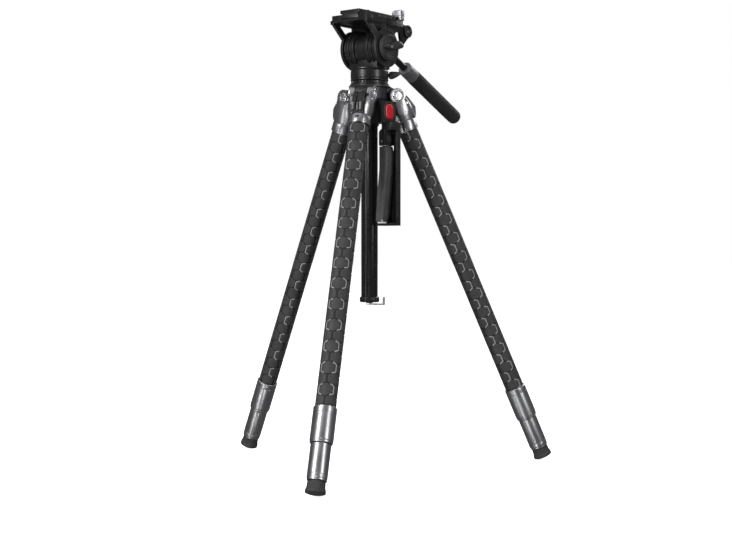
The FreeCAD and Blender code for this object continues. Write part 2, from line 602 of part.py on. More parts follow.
def grip_frame():
    """Fixed half of the grip: slotted head, neck, back plate with its lip, and bottom plate."""
    head = prism([
        ("frame_head_start", "frame_head_bottom"), ("frame_head_end", "frame_head_bottom"),
        ("frame_head_end", "frame_head_top"),
        ("frame_head_start + frame_head_bevel", "frame_head_top"),
        ("frame_head_start", "frame_head_top - frame_head_bevel"),
    ], y=("-frame_head_half", "frame_head_half"))
    neck = box(("neck_start", "lip_end"), ("-neck_half", "back_plate_outer"),
               ("frame_head_top - neck_overlap", "housing_bottom"))
    height = ("rail_bottom", "rail_top")
    back = box(("back_plate_start", "lip_end"), ("back_plate_inner", "back_plate_outer"), height)
    lip = box(("lip_start", "lip_end"), ("lip_inner", "back_plate_outer"), height)
    plate = box(("foot_plate_start", "lip_end"), ("-lever_half_width", "back_plate_outer"),
                ("rail_bottom", "foot_plate_top"))
    slot = box(("lever_slot_start", "lever_slot_end"), ("-lever_slot_half", "lever_slot_half"),
               ("frame_head_bottom - 1", "lever_slot_top"))
    hole = cylinder("lever_pin_radius + fixed_gap", "lever_pin_x", ("-30", "30"), "lever_pin_height")
    return cut(joined(head, neck, back, lip, plate), slot, hole)


def squeeze_lever():
    """Curved lever hinged in the frame's head."""
    grip = padded([
        ("lever_top_back", "lever_top"), ("lever_upper_back", "lever_upper"),
        ("lever_lower_back", "lever_lower"), ("lever_bottom_back", "lever_bottom"),
        ("lever_bottom_front", "lever_bottom"), ("lever_lower_front", "lever_lower"),
        ("lever_upper_front", "lever_upper"), ("lever_shoulder_front", "lever_shoulder"),
        ("lever_top_front", "lever_top"),
    ], "lever_half_width")
    half = ("-lever_tang_half", "lever_tang_half")
    tang = box(("lever_pin_x - lever_tang_radius", "lever_pin_x + lever_tang_radius"), half,
               ("lever_top - 2", "lever_pin_height"))
    eye = cylinder("lever_tang_radius", "lever_pin_x", half, "lever_pin_height")
    hole = cylinder("lever_pin_radius + running_gap", "lever_pin_x", half, "lever_pin_height")
    middle = (number("lever_bottom_back") + number("lever_shoulder_front")) / 2
    rounded = softened(grip, "lever_round", lambda edge: abs(edge.tangentAt(0).z) > 0.9 and
                       edge.BoundBox.YLength < 0.1 and edge.BoundBox.XMin > middle)
    return cut(joined(rounded, tang, eye), hole)


grip = radial_frame(number("grip_azimuth"))
subpart(grip_housing(), "grip_housing", grip)
subpart(rounded_block("button_start", 0), "lock_button", grip)
subpart(grip_frame(), "grip_frame", grip)
subpart(squeeze_lever(), "squeeze_lever", grip)
lever_pin = [(0, "-frame_head_half"), ("lever_pin_radius", "-frame_head_half"),
             ("lever_pin_radius", "frame_head_half"), (0, "frame_head_half")]
subpart(turned(lever_pin, ALONG_Y, ("lever_pin_x", 0, "lever_pin_height")), "lever_pin", grip)


# ---- Pan base ----

def head_base_ring():
    """Ring under the head with the spigot that the head pans on."""
    bore = "stud_radius + fixed_gap"
    return turned([
        (0, "stud_top + free_gap"), (bore, "stud_top + free_gap"), (bore, "plate_top"),
        ("base_ring_radius", "plate_top"), ("base_ring_radius", "base_ring_top"),
        ("spigot_radius", "base_ring_top"), ("spigot_radius", "spigot_top"), (0, "spigot_top"),
    ])


def pan_housing():
    """Round housing that turns on the spigot, with a groove round it."""
    bore = "spigot_radius + running_gap"
    groove = "pan_radius - pan_groove_depth"
    housing = turned([
        (0, "spigot_top + free_gap"), (bore, "spigot_top + free_gap"), (bore, "pan_bottom"),
        ("pan_radius - pan_edge", "pan_bottom"), ("pan_radius", "pan_bottom + pan_edge"),
        ("pan_radius", "pan_groove_height"), (groove, "pan_groove_height"),
        (groove, "pan_groove_height + pan_groove_width"),
        ("pan_radius", "pan_groove_height + pan_groove_width"), ("pan_radius", "pan_top - pan_edge"),
        ("pan_radius - pan_edge", "pan_top"), (0, "pan_top"),
    ])
    hole = swung(number("pan_lever_azimuth"), cylinder(
        "pan_stem_radius + running_gap", ("pan_stem_start - 0.5", "40"), 0, "pan_lever_height"))
    return cut(housing, hole)


def pan_lock_lever():
    """Wing on a stem that clamps the pan."""
    low, high = "pan_lever_height - pan_wing_half_height", "pan_lever_height + pan_wing_half_height"
    wing = padded([
        ("pan_wing_start", low), ("pan_wing_start + pan_wing_root", low),
        ("pan_wing_end - pan_wing_taper", "pan_lever_height - pan_wing_taper_half"),
        ("pan_wing_end", "pan_lever_height - pan_wing_tip_half"),
        ("pan_wing_end", "pan_lever_height + pan_wing_tip_half"),
        ("pan_wing_end - pan_wing_taper", "pan_lever_height + pan_wing_taper_half"),
        ("pan_wing_start + pan_wing_root", high), ("pan_wing_start", high),
    ], "pan_wing_half_width")
    stem = cylinder("pan_stem_radius", ("pan_stem_start", "pan_wing_start + 2"), 0, "pan_lever_height")
    return joined(wing, stem)


subpart(head_base_ring(), "head_base_ring")
subpart(pan_housing(), "pan_housing")
subpart(pan_lock_lever(), "pan_lock_lever", radial_frame(number("pan_lever_azimuth")))


# ---- Tilt head, X along the tilt axis and Y towards the operator ----

def head_body():
    """Two fluid drums on a core, with a round stand down to the pan housing."""
    drums = turned([
        (0, "-drum_half"), ("drum_radius - drum_edge", "-drum_half"),
        ("drum_radius", "drum_edge - drum_half"), ("drum_radius", "-core_half - 1"),
        ("core_radius", "-core_half"), ("core_radius", "core_half"),
        ("drum_radius", "core_half + 1"), ("drum_radius", "drum_half - drum_edge"),
        ("drum_radius - drum_edge", "drum_half"), (0, "drum_half"),
    ], ALONG_X, (0, 0, "tilt_height"))
    stand = cylinder("stand_radius", z=("pan_top", "stand_top"))
    saddle = box(("-saddle_half_length", "saddle_half_length"),
                 ("-saddle_half_width", "saddle_half_width"), ("pan_top", "saddle_top"))
    bore = cylinder("shaft_radius + fixed_gap", ("-50", "50"), 0, "tilt_height")
    return cut(joined(drums, stand, saddle), bore)


def cradle_web(span, corners):
    """A flat web of the cradle from (y, height) corners."""
    return prism(corners, x=span)


def front_strut(span):
    """Strut from a disc forwards to the deck's front edge."""
    return cradle_web(span, [
        ("deck_front", "deck_web + 2"), ("deck_front", "deck_bottom"),
        ("strut_low_y", "tilt_height + strut_low_rise"),
        ("strut_high_y", "tilt_height + strut_high_rise"),
        ("strut_inner_y", "deck_bottom"), ("strut_inner_y", "deck_web + 2"),
    ])


def near_side():
    """Disc under the tilt knob, with an open brace and an arm that carries the rosette."""
    span = ("disc_inner", "disc_outer")
    disc = cylinder("disc_radius", span, 0, "tilt_height")
    brace = cradle_web(span, [
        ("brace_front", "deck_web + 2"), ("brace_root", "tilt_height + brace_root_rise"),
        ("brace_low", "tilt_height + brace_low_rise"),
        ("brace_back", "tilt_height + brace_back_rise"),
        ("brace_rear", "tilt_height + brace_rear_rise"), ("brace_rear", "deck_web + 2"),
    ])
    arm = cradle_web(span, [
        ("arm_root", "tilt_height + arm_root_rise"), ("arm_low", "tilt_height + arm_low_rise"),
        ("arm_bend", "tilt_height + arm_bend_rise"), ("arm_tip", "tilt_height + arm_tip_rise"),
        ("arm_inner", "deck_web + 2"), ("brace_rear", "deck_web + 2"),
        ("brace_rear", "tilt_height + brace_rear_rise"),
        ("arm_waist", "tilt_height + arm_waist_rise"),
    ])
    return [disc, front_strut(span), brace, arm]


def far_side():
    """Disc under the drag knob, with a closed web up to the deck."""
    span = ("-disc_outer", "-disc_inner")
    disc = cylinder("disc_radius", span, 0, "tilt_height")
    web = cradle_web(span, [
        ("web_front", "deck_web + 2"), ("web_front", "tilt_height + web_front_rise"),
        ("web_root", "tilt_height + web_root_rise"), ("web_low", "tilt_height + web_low_rise"),
        ("web_rear", "tilt_height + web_rear_rise"), ("web_rear", "deck_web + 2"),
    ])
    return [disc, front_strut(span), web]


def tilt_cradle():
    """Frame that tilts: two discs, their struts, a slotted deck and two rosette bosses."""
    deck = prism([
        ("-deck_half_width", "deck_bottom"), ("-web_half", "deck_bottom"), ("-web_half", "deck_web"),
        ("web_half", "deck_web"), ("web_half", "deck_bottom"), ("deck_half_width", "deck_bottom"),
        ("deck_half_width", "deck_top"), ("slot_mouth_half", "deck_top"),
        ("slot_floor_half", "deck_floor"), ("-slot_floor_half", "deck_floor"),
        ("-slot_mouth_half", "deck_top"), ("-deck_half_width", "deck_top"),
    ], y=("deck_front", "deck_back"))
    tail = box(("-tail_half_width", "tail_half_width"), ("deck_back - 2", "tail_end"),
               ("deck_web", "deck_floor"))
    bosses = [
        cylinder("rosette_radius", ("boss_root", "near_boss_end"), "rosette_y", "rosette_height"),
        cylinder("rosette_radius", ("-far_boss_end", "-boss_root"), "rosette_y", "rosette_height"),
    ]
    recess = box(("-deck_half_width - 1", "recess_side"), ("deck_front - 1", "recess_end"),
                 ("recess_bottom", "deck_top + 1"))
    bearing = cylinder("shaft_radius + running_gap", ("-50", "50"), 0, "tilt_height")
    pin_hole = cylinder("lock_pin_radius + running_gap", "lock_x", "lock_y",
                        ("lock_pin_bottom - free_gap", "deck_top + 5"))
    frame = joined(deck, tail, *bosses, *near_side(), *far_side())
    return cut(frame, recess, bearing, pin_hole)


def rosette_cap():
    """Toothed face on the near boss: concentric rings around a socket."""
    end, step = "rosette_cap_end", "rosette_cap_end - rosette_step"
    floor = "rosette_cap_end - rosette_socket_depth"
    return turned([
        (0, "rosette_cap_start"), ("rosette_radius", "rosette_cap_start"), ("rosette_radius", step),
        ("rosette_radius - rosette_step", end), ("rosette_ring_outer", end),
        ("rosette_ring_outer", step), ("rosette_ring_inner", step), ("rosette_ring_inner", end),
        ("rosette_socket", end), ("rosette_socket", floor), (0, floor),
    ], ALONG_X, (0, "rosette_y", "rosette_height"))


def tilt_lock_knob():
    """Dished knob with a lever wing across it, on a stem in the tilt shaft."""
    dish = "knob_end - dish_depth"
    knob = turned([
        (0, "knob_stem_start"), ("knob_stem_radius", "knob_stem_start"),
        ("knob_stem_radius", "knob_start"), ("knob_radius", "knob_start"),
        ("knob_radius", "knob_end - knob_edge"), ("knob_radius - knob_edge", "knob_end"),
        ("knob_radius - knob_rim", "knob_end"), ("knob_radius - knob_rim - dish_slope", dish),
        (0, dish),
    ], ALONG_X, (0, 0, "tilt_height"))
    wing = prism([(across, f"tilt_height + {up}") for across, up in KNOB_WING],
                 x=("wing_start", "wing_end"))
    return joined(knob, wing)


def drag_knob():
    """Plain knob on the far side that sets the tilt drag."""
    return turned([
        (0, "-knob_stem_start"), ("knob_stem_radius", "-knob_stem_start"),
        ("knob_stem_radius", "-knob_start"), ("drag_radius", "-knob_start"),
        ("drag_radius", "knob_edge - drag_end"), ("drag_radius - knob_edge", "-drag_end"),
        (0, "-drag_end"),
    ], ALONG_X, (0, 0, "tilt_height"))


def sliding_plate():
    """Camera plate on a dovetail tongue, pocketed for its screw and recessed for its pad."""
    bar = prism([
        ("-tongue_floor_half", "tongue_bottom"), ("tongue_floor_half", "tongue_bottom"),
        ("tongue_mouth_half", "plate_under"), ("plate_half", "plate_under"),
        ("plate_half", "plate_face"), ("-plate_half", "plate_face"), ("-plate_half", "plate_under"),
        ("-tongue_mouth_half", "plate_under"),
    ], y=("plate_front", "plate_back"))
    hole = cylinder("screw_hole", 0, "screw_y", ("tongue_bottom - 1", "plate_face + 1"))
    pocket = cylinder("screw_pocket", 0, "screw_y", ("tongue_bottom - 1", "pocket_top"))
    recess = box(("-pad_half - fixed_gap", "pad_half + fixed_gap"),
                 ("plate_front + pad_margin - fixed_gap", "plate_back - pad_margin + fixed_gap"),
                 ("plate_face - pad_depth", "plate_face + 1"))
    return cut(bar, hole, pocket, recess)


def plate_pad():
    """Rubber pad let into the plate, with an opening round the screw."""
    pad = box(("-pad_half", "pad_half"), ("plate_front + pad_margin", "plate_back - pad_margin"),
              ("plate_face - pad_depth", "plate_face + pad_rise"))
    return cut(pad, cylinder("pad_hole", 0, "screw_y", ("plate_face - 5", "plate_face + 5")))


def camera_screw():
    """Quarter-inch camera screw, captive in the plate."""
    return turned([
        (0, "screw_head_bottom"), ("screw_head_radius", "screw_head_bottom"),
        ("screw_head_radius", "screw_head_top"), ("screw_neck_radius", "screw_head_top"),
        ("screw_neck_radius", "screw_neck_top"), ("screw_radius", "screw_neck_top"),
        ("screw_radius", "screw_top - screw_tip"), ("screw_radius - screw_tip", "screw_top"),
        (0, "screw_top"),
    ], Rotation(), (0, "screw_y", 0))


def plate_lock_lever():
    """Block lever with a skirt over the deck's edge, on a vertical pin."""
    length = ("lock_y - lock_half_length", "lock_y + lock_half_length")
    block = box(("lock_inner", "lock_outer"), length, ("lock_bottom", "lock_top"))
    skirt = box(("lock_skirt", "lock_outer"), length, ("lock_skirt_bottom", "lock_top"))
    pin = cylinder("lock_pin_radius", "lock_x", "lock_y", ("lock_pin_bottom", "lock_bottom + 2"))
    return joined(block, skirt, pin)


head = radial_frame(number("head_azimuth"))
subpart(head_body(), "head_body", head)
subpart(turned(ring_profile("shaft_bore", "shaft_radius", "-shaft_half", "shaft_half"), ALONG_X,
               (0, 0, "tilt_height")), "tilt_shaft", head)
subpart(tilt_cradle(), "tilt_cradle", head)
subpart(rosette_cap(), "rosette_cap", head)
subpart(tilt_lock_knob(), "tilt_lock_knob", head)
subpart(drag_knob(), "drag_knob", head)
subpart(sliding_plate(), "sliding_plate", head)
subpart(plate_pad(), "plate_pad", head)
subpart(camera_screw(), "camera_screw", head)
subpart(plate_lock_lever(), "plate_lock_lever", head)


# ---- Pan handle, Z along the rod ----

def handle_clamp():
    """Clamp that grips the far rosette and holds the rod in a sleeve."""
    disc = cylinder("clamp_radius", ("-clamp_half", "clamp_half"))
    neck = box(("-clamp_half", "clamp_half"), ("-clamp_half", "clamp_half"), ("0", "sleeve_start + 2"))
    sleeve = cylinder("sleeve_radius", z=("sleeve_start", "sleeve_end"))
    socket = cylinder("rod_radius + fixed_gap", z=("rod_start - 0.1", "sleeve_end + 1"))
    return cut(joined(disc, neck, sleeve), socket)


def pan_handle_grip():
    """Foam grip with a round end, over the rod."""
    bore = "rod_radius + fixed_gap"
    tube = turned([
        (0, "rod_end + fixed_gap"), (bore, "rod_end + fixed_gap"), (bore, "grip_start"),
        ("grip_radius", "grip_start"), ("grip_radius", "grip_end"), (0, "grip_end"),
    ])
    return softened(tube, "grip_round",
                    lambda edge: edge.BoundBox.ZMin > number("grip_end") - 1 and not edge.isClosed()
                    or edge.BoundBox.ZMin > number("grip_end") - 1 and edge.BoundBox.XLength > 20)


handle = head.multiply(Placement(
    Vector(number("handle_x"), number("rosette_y"), number("rosette_height")),
    Rotation(Vector(1, 0, 0), -90 - number("handle_dip")),
))
subpart(handle_clamp(), "handle_clamp", handle)
subpart(turned([(0, "rod_start"), ("rod_radius", "rod_start"), ("rod_radius", "rod_end"),
                (0, "rod_end")]), "pan_handle_rod", handle)
subpart(turned(ring_profile("rod_radius + fixed_gap", "ring_radius", "ring_start", "ring_end",
                            "lock_edge")), "pan_handle_ring", handle)
subpart(pan_handle_grip(), "pan_handle_grip", handle)


# ---- Check and write ----

doc.recompute()
failed = [item.Label for item in doc.Objects if "Invalid" in item.State or "Error" in item.State]
if failed:
    raise RuntimeError(f"features that did not build: {failed}")
for item in subparts:
    if item.Shape.isNull() or not item.Shape.isValid() or len(item.Shape.Solids) != 1:
        raise RuntimeError(f"{item.Label} is not one valid solid")

os.makedirs("parts", exist_ok=True)
for item in subparts:
    item.Shape.exportStep(f"parts/{item.Label}.step")
print(f"{len(subparts)} sub-parts written")
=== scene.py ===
import json
import math

import bmesh
import bpy
from mathutils import Matrix, Vector


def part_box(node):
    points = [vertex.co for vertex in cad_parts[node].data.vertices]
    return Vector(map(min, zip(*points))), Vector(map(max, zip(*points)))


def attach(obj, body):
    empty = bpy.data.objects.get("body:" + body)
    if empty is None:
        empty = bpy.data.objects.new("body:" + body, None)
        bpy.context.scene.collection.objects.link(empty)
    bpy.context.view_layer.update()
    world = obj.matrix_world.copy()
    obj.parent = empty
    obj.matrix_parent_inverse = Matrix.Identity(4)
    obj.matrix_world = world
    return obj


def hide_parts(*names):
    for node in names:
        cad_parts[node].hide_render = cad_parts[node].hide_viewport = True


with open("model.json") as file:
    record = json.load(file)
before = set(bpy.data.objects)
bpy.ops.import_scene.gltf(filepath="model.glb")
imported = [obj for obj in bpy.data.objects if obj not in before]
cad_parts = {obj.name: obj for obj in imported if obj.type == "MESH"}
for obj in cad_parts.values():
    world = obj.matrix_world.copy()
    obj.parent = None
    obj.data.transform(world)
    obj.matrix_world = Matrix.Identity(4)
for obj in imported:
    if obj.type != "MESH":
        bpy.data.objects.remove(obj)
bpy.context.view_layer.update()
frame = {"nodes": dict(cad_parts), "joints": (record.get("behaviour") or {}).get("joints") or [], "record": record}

# A video tripod with a fluid head, dressed around the CAD frame.
# Sizes are written in millimetres and turned into metres when a mesh is made.

MM = 0.001
NODES = frame["nodes"]
JOINTS = {joint["name"]: joint for joint in frame["joints"]}
LEGS = ("front", "right", "left")
TURN = 2 * math.pi


# ---- Places read from the frame ----

def basis(origin, x, y, z):
    """A frame in metres from its origin and its three unit axes."""
    columns = (Vector(x), Vector(y), Vector(z))
    matrix = Matrix.Identity(4)
    for index, column in enumerate(columns):
        for row in range(3):
            matrix[row][index] = column[row]
    matrix.translation = Vector(origin)
    return matrix


def leg_frame(leg):
    """Origin at the leg's pivot, Z up along the leg, X on its outer side."""
    up = -Vector(JOINTS[f"{leg}_middle_slide"]["axis"]).normalized()
    across = -Vector(JOINTS[f"{leg}_leg_fold"]["axis"]).normalized()
    return basis(JOINTS[f"{leg}_leg_fold"]["pos_m"], across.cross(up), across, up)


def upright_frame(outward, origin=(0, 0, 0)):
    """X along a level direction, Z up."""
    outward = Vector(outward).normalized()
    up = Vector((0, 0, 1))
    return basis(origin, outward, up.cross(outward), up)


def along_frame(origin, direction, side):
    """Z along a direction, X along a side that is square to it."""
    z = Vector(direction).normalized()
    x = Vector(side).normalized()
    return basis(origin, x, z.cross(x), z)


HEAD = upright_frame(JOINTS["tilt"]["axis"])
TILT_AXIS_HEIGHT = JOINTS["tilt"]["pos_m"][2] / MM
GRIP = upright_frame(-Vector(JOINTS["button_press"]["axis"]))
PAN_LEVER = upright_frame(JOINTS["pan_lock_turn"]["axis"])


def extent(node, place):
    """Lowest and highest corner of a CAD node in a frame, in millimetres."""
    back = place.inverted()
    points = [back @ vertex.co for vertex in NODES[node].data.vertices]
    low = Vector(min(point[axis] for point in points) for axis in range(3)) / MM
    high = Vector(max(point[axis] for point in points) for axis in range(3)) / MM
    return low, high


def handle_frame():
    """Z along the pan handle's rod, from the rosette outwards."""
    pivot = Vector(JOINTS["handle_angle"]["pos_m"])
    low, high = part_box("pan_handle_ring")
    direction = (low + high) / 2 - pivot
    return along_frame(pivot, direction, JOINTS["handle_angle"]["axis"])


HANDLE = handle_frame()


# ---- Materials ----

class Shader:
    """A small helper that builds one node material."""

    def __init__(self, name):
        self.material = bpy.data.materials.new(name)
        self.material.use_nodes = True
        self.tree = self.material.node_tree
        self.principled = self.tree.nodes["Principled BSDF"]
        self.coords = self.node("ShaderNodeTexCoord").outputs["Object"]

    def node(self, kind, **settings):
        made = self.tree.nodes.new(kind)
        for key, value in settings.items():
            setattr(made, key, value)
        return made

    def link(self, source, target):
        self.tree.links.new(source, target)

    def set(self, socket, value):
        self.principled.inputs[socket].default_value = value

    def noise(self, scale, detail=4.0, stretch=None, source=None):
        """A noise texture's value, optionally stretched along an axis."""
        texture = self.node("ShaderNodeTexNoise")
        texture.inputs["Scale"].default_value = scale
        texture.inputs["Detail"].default_value = detail
        vector = source or self.coords
        if stretch:
            mapping = self.node("ShaderNodeMapping")
            mapping.inputs["Scale"].default_value = stretch
            self.link(vector, mapping.inputs["Vector"])
            vector = mapping.outputs["Vector"]
        self.link(vector, texture.inputs["Vector"])
        return texture.outputs["Fac"]

    def ramp(self, value, low, high, first, second):
        """Map a value between two limits onto two colours."""
        ramp = self.node("ShaderNodeValToRGB")
        ramp.color_ramp.elements[0].position = low
        ramp.color_ramp.elements[1].position = high
        ramp.color_ramp.elements[0].color = (*first, 1)
        ramp.color_ramp.elements[1].color = (*second, 1)
        self.link(value, ramp.inputs["Fac"])
        return ramp.outputs["Color"]

    def spread(self, value, low, high):
        """Map a noise value onto a range of numbers."""
        spread = self.node("ShaderNodeMapRange")
        spread.inputs["From Min"].default_value = 0.3
        spread.inputs["From Max"].default_value = 0.7
        spread.inputs["To Min"].default_value = low
        spread.inputs["To Max"].default_value = high
        self.link(value, spread.inputs["Value"])
        return spread.outputs["Result"]

    def bump(self, height, strength, distance):
        """Feed a height into the surface normal, after any bump before it."""
        bump = self.node("ShaderNodeBump")
        bump.inputs["Strength"].default_value = strength
        bump.inputs["Distance"].default_value = distance
        self.link(height, bump.inputs["Height"])
        normal = self.principled.inputs["Normal"]
        if normal.is_linked:
            self.link(normal.links[0].from_socket, bump.inputs["Normal"])
        self.link(bump.outputs["Normal"], normal)


def tinted(colour, factor):
    """A colour made lighter or darker."""
    return tuple(min(1.0, channel * factor) for channel in colour)


def finish_material(name, colour, metallic, rough, patch=0.25, grain=2200, grain_depth=0.25,
                    coat=0.0, waviness=0.12):
    """Base of every finish: cloudy colour, uneven gloss, handling marks and a fine grain."""
    shader = Shader(name)
    shader.set("Metallic", metallic)
    shader.set("Coat Weight", coat)
    shader.set("Specular IOR Level", 0.4)
    shader.set("Coat Roughness", 0.15)
    cloud = shader.noise(38, 5)
    shader.link(shader.ramp(cloud, 0.3, 0.7, tinted(colour, 1 - patch), tinted(colour, 1 + patch)),
                shader.principled.inputs["Base Color"])
    smear = shader.noise(120, 6, (1, 1, 0.35))
    shader.link(shader.spread(smear, rough[0], rough[1]), shader.principled.inputs["Roughness"])
    shader.bump(shader.noise(grain, 3), grain_depth, 0.00006)
    shader.bump(shader.noise(160, 4), waviness, 0.0002)
    return shader


def painted_black():
    """Satin powder coat with a fine orange peel."""
    return finish_material("satin_black", (0.0075, 0.0075, 0.008), 0.0, (0.30, 0.42), grain=2600,
                           grain_depth=0.5, coat=0.1).material


def painted_grey():
    """Dark grey casting finish, a little coarser."""
    return finish_material("casting_grey", (0.028, 0.028, 0.030), 0.2, (0.34, 0.46), grain=1500,
                           grain_depth=0.6).material


def speckled_plastic():
    """Moulded knob plastic with a spark-eroded texture."""
    shader = finish_material("knob_plastic", (0.020, 0.020, 0.021), 0.0, (0.36, 0.50), grain=900,
                             grain_depth=0.9)
    cells = shader.node("ShaderNodeTexVoronoi")
    cells.inputs["Scale"].default_value = 1400
    shader.link(shader.coords, cells.inputs["Vector"])
    shader.bump(cells.outputs["Distance"], 0.5, 0.00008)
    return shader.material


def gunmetal():
    """Polished gunmetal with fine turning lines along the piece's own V coordinate."""
    shader = finish_material("gunmetal", (0.30, 0.30, 0.31), 1.0, (0.30, 0.38), patch=0.08,
                             grain=3000, grain_depth=0.1, waviness=0.02)
    uv = shader.node("ShaderNodeTexCoord").outputs["UV"]
    lines = shader.noise(60, 3, (0.6, 90, 1), uv)
    shader.bump(lines, 0.16, 0.00005)
    return shader.material


def anodised():
    """Black anodised tube, drawn lengthwise."""
    shader = finish_material("black_anodised", (0.010, 0.010, 0.011), 0.3, (0.24, 0.34), grain=2400,
                             grain_depth=0.2)
    shader.bump(shader.noise(900, 2, (1, 1, 0.02)), 0.2, 0.00004)
    return shader.material


def rubber(name, colour, rough=(0.58, 0.74)):
    """Moulded rubber: matt, finely pitted, a little dusty."""
    shader = finish_material(name, colour, 0.0, rough, patch=0.18, grain=1100, grain_depth=0.8)
    shader.bump(shader.noise(2800, 2), 0.5, 0.00008)
    return shader.material


def foam():
    """Foam grip with fine open cells."""
    shader = finish_material("foam", (0.017, 0.017, 0.019), 0.0, (0.66, 0.82), patch=0.3, grain=700,
                             grain_depth=0.9)
    cells = shader.node("ShaderNodeTexVoronoi")
    cells.inputs["Scale"].default_value = 900
    shader.link(shader.coords, cells.inputs["Vector"])
    shader.bump(cells.outputs["Distance"], 0.8, 0.00018)
    return shader.material


def bright_metal(name, colour, rough):
    """Bare bright metal with faint scratches."""
    shader = finish_material(name, colour, 1.0, rough, patch=0.05, grain=1800, grain_depth=0.2,
                             waviness=0.03)
    shader.bump(shader.noise(500, 2, (1, 0.05, 1)), 0.12, 0.00004)
    return shader.material


def red_plastic():
    """Gloss red moulding."""
    shader = finish_material("red_plastic", (0.50, 0.010, 0.018), 0.0, (0.22, 0.34), patch=0.1,
                             grain=1500, grain_depth=0.2, coat=0.4)
    return shader.material


def lever_finish():
    """Lighter satin coat of the squeeze lever."""
    return finish_material("lever_finish", (0.055, 0.055, 0.057), 0.0, (0.42, 0.56), grain=1800,
                           grain_depth=0.5).material


def ring_finish():
    """Bead-blasted grey of the handle's collar."""
    return finish_material("ring_finish", (0.17, 0.17, 0.18), 0.6, (0.46, 0.58), patch=0.1,
                           grain=2400, grain_depth=0.6).material


MATERIALS = {
    "black_paint": painted_black(), "grey_paint": painted_grey(), "gunmetal": gunmetal(),
    "black_tube": anodised(), "wrap_rubber": rubber("wrap_rubber", (0.030, 0.030, 0.031)),
    "wrap_groove": rubber("wrap_groove", (0.002, 0.002, 0.002)),
    # The light grey of the sleeve's lines is partly their own colour and partly a painted reflection of light in
    # the grooves.
    "wrap_line_and_painted_reflection": rubber("wrap_line_and_painted_reflection", (0.26, 0.26, 0.265), (0.40, 0.55)),
    "foot_rubber": rubber("foot_rubber", (0.024, 0.024, 0.024)), "foam": foam(),
    "silver": bright_metal("silver", (0.62, 0.61, 0.66), (0.32, 0.44)),
    "chrome": bright_metal("chrome", (0.72, 0.72, 0.74), (0.24, 0.34)),
    "steel": bright_metal("steel", (0.45, 0.45, 0.47), (0.22, 0.36)),
    "red_plastic": red_plastic(), "black_plastic": speckled_plastic(),
    "lever_finish": lever_finish(), "ring_finish": ring_finish(),
}


# ---- Making pieces ----

def make_piece(name, bm, place, body, slot, stands_for=(), extra=(), sharp=40, levels=0):
    """Turn a bmesh in millimetres into a named piece that rides on a body."""
    bmesh.ops.recalc_face_normals(bm, faces=bm.faces)
    mesh = bpy.data.meshes.new(name)
    bm.to_mesh(mesh)
    bm.free()
    mesh.transform(place @ Matrix.Scale(MM, 4))
    for material in (slot, *extra):
        mesh.materials.append(MATERIALS[material])
    mesh.shade_smooth()
    mesh.set_sharp_from_angle(angle=math.radians(sharp))
    piece = bpy.data.objects.new(name, mesh)
    bpy.context.scene.collection.objects.link(piece)
    if levels:
        smooth = piece.modifiers.new("Subdivision", "SUBSURF")
        smooth.levels = smooth.render_levels = levels
    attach(piece, body)
    if stands_for:
        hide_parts(*stands_for)
    return piece


def rounded(corners, radius=0.6, steps=4):
    """Round the corners of an open (radius, height) profile. A third value sets a corner's own size."""
    points = [Vector(corners[0][:2])]
    for before, corner, after in zip(corners, corners[1:], corners[2:]):
        size = corner[2] if len(corner) > 2 else radius
        here = Vector(corner[:2])
        arm_in, arm_out = Vector(before[:2]) - here, Vector(after[:2]) - here
        size = min(size, arm_in.length * 0.45, arm_out.length * 0.45)
        start, end = here + arm_in.normalized() * size, here + arm_out.normalized() * size
        for step in range(steps + 1):
            t = step / steps
            points.append((1 - t) ** 2 * start + 2 * t * (1 - t) * here + t ** 2 * end)
    points.append(Vector(corners[-1][:2]))
    return points


def lathe(bm, profile, segments=96, wave=None, material=0):
    """Turn an open profile about Z. A wave may change the radius with the angle."""
    rings = []
    for point in profile:
        if point.x < 1e-6:
            rings.append([bm.verts.new((0, 0, point.y))])
            continue
        ring = []
        for index in range(segments):
            angle = TURN * index / segments
            radius = point.x + (wave(point, angle) if wave else 0)
            ring.append(bm.verts.new((radius * math.cos(angle), radius * math.sin(angle), point.y)))
        rings.append(ring)
    uv = bm.loops.layers.uv.verify()
    for level, (first, second) in enumerate(zip(rings, rings[1:])):
        for index in range(segments):
            after = (index + 1) % segments
            corners = [first[index % len(first)], first[after % len(first)],
                       second[after % len(second)], second[index % len(second)]]
            around = [index, index + 1, index + 1, index]
            heights = [profile[level].y, profile[level].y, profile[level + 1].y, profile[level + 1].y]
            kept = [place for place, corner in enumerate(corners) if corner not in corners[:place]]
            face = bm.faces.new([corners[place] for place in kept])
            face.material_index = material
            for loop, place in zip(face.loops, kept):
                loop[uv].uv = (around[place] / segments, heights[place] / 100)
    return bm


def lathe_piece(name, corners, place, body, slot, stands_for=(), radius=0.6, segments=96, wave=None):
    """A turned piece from a profile of corners."""
    bm = lathe(bmesh.new(), rounded(corners, radius), segments, wave)
    return make_piece(name, bm, place, body, slot, stands_for)


def loop_points(width, depth, power=3.0, count=32):
    """A closed rounded-rectangle loop, as a superellipse."""
    points = []
    for index in range(count):
        angle = TURN * index / count
        c, s = math.cos(angle), math.sin(angle)
        points.append((width / 2 * math.copysign(abs(c) ** (2 / power), c),
                       depth / 2 * math.copysign(abs(s) ** (2 / power), s)))
    return points


def loft(bm, loops, material=0, capped=True):
    """Join closed loops of the same length into a skin and close its ends."""
    rings = [[bm.verts.new(point) for point in loop] for loop in loops]
    count = len(rings[0])
    for first, second in zip(rings, rings[1:]):
        for index in range(count):
            after = (index + 1) % count
            face = bm.faces.new([first[index], first[after], second[after], second[index]])
            face.material_index = material
    if capped:
        for ring in (rings[0], rings[-1]):
            centre = bm.verts.new(sum((vertex.co for vertex in ring), Vector()) / count)
            for index in range(count):
                face = bm.faces.new([ring[index], ring[(index + 1) % count], centre])
                face.material_index = material
    return bm


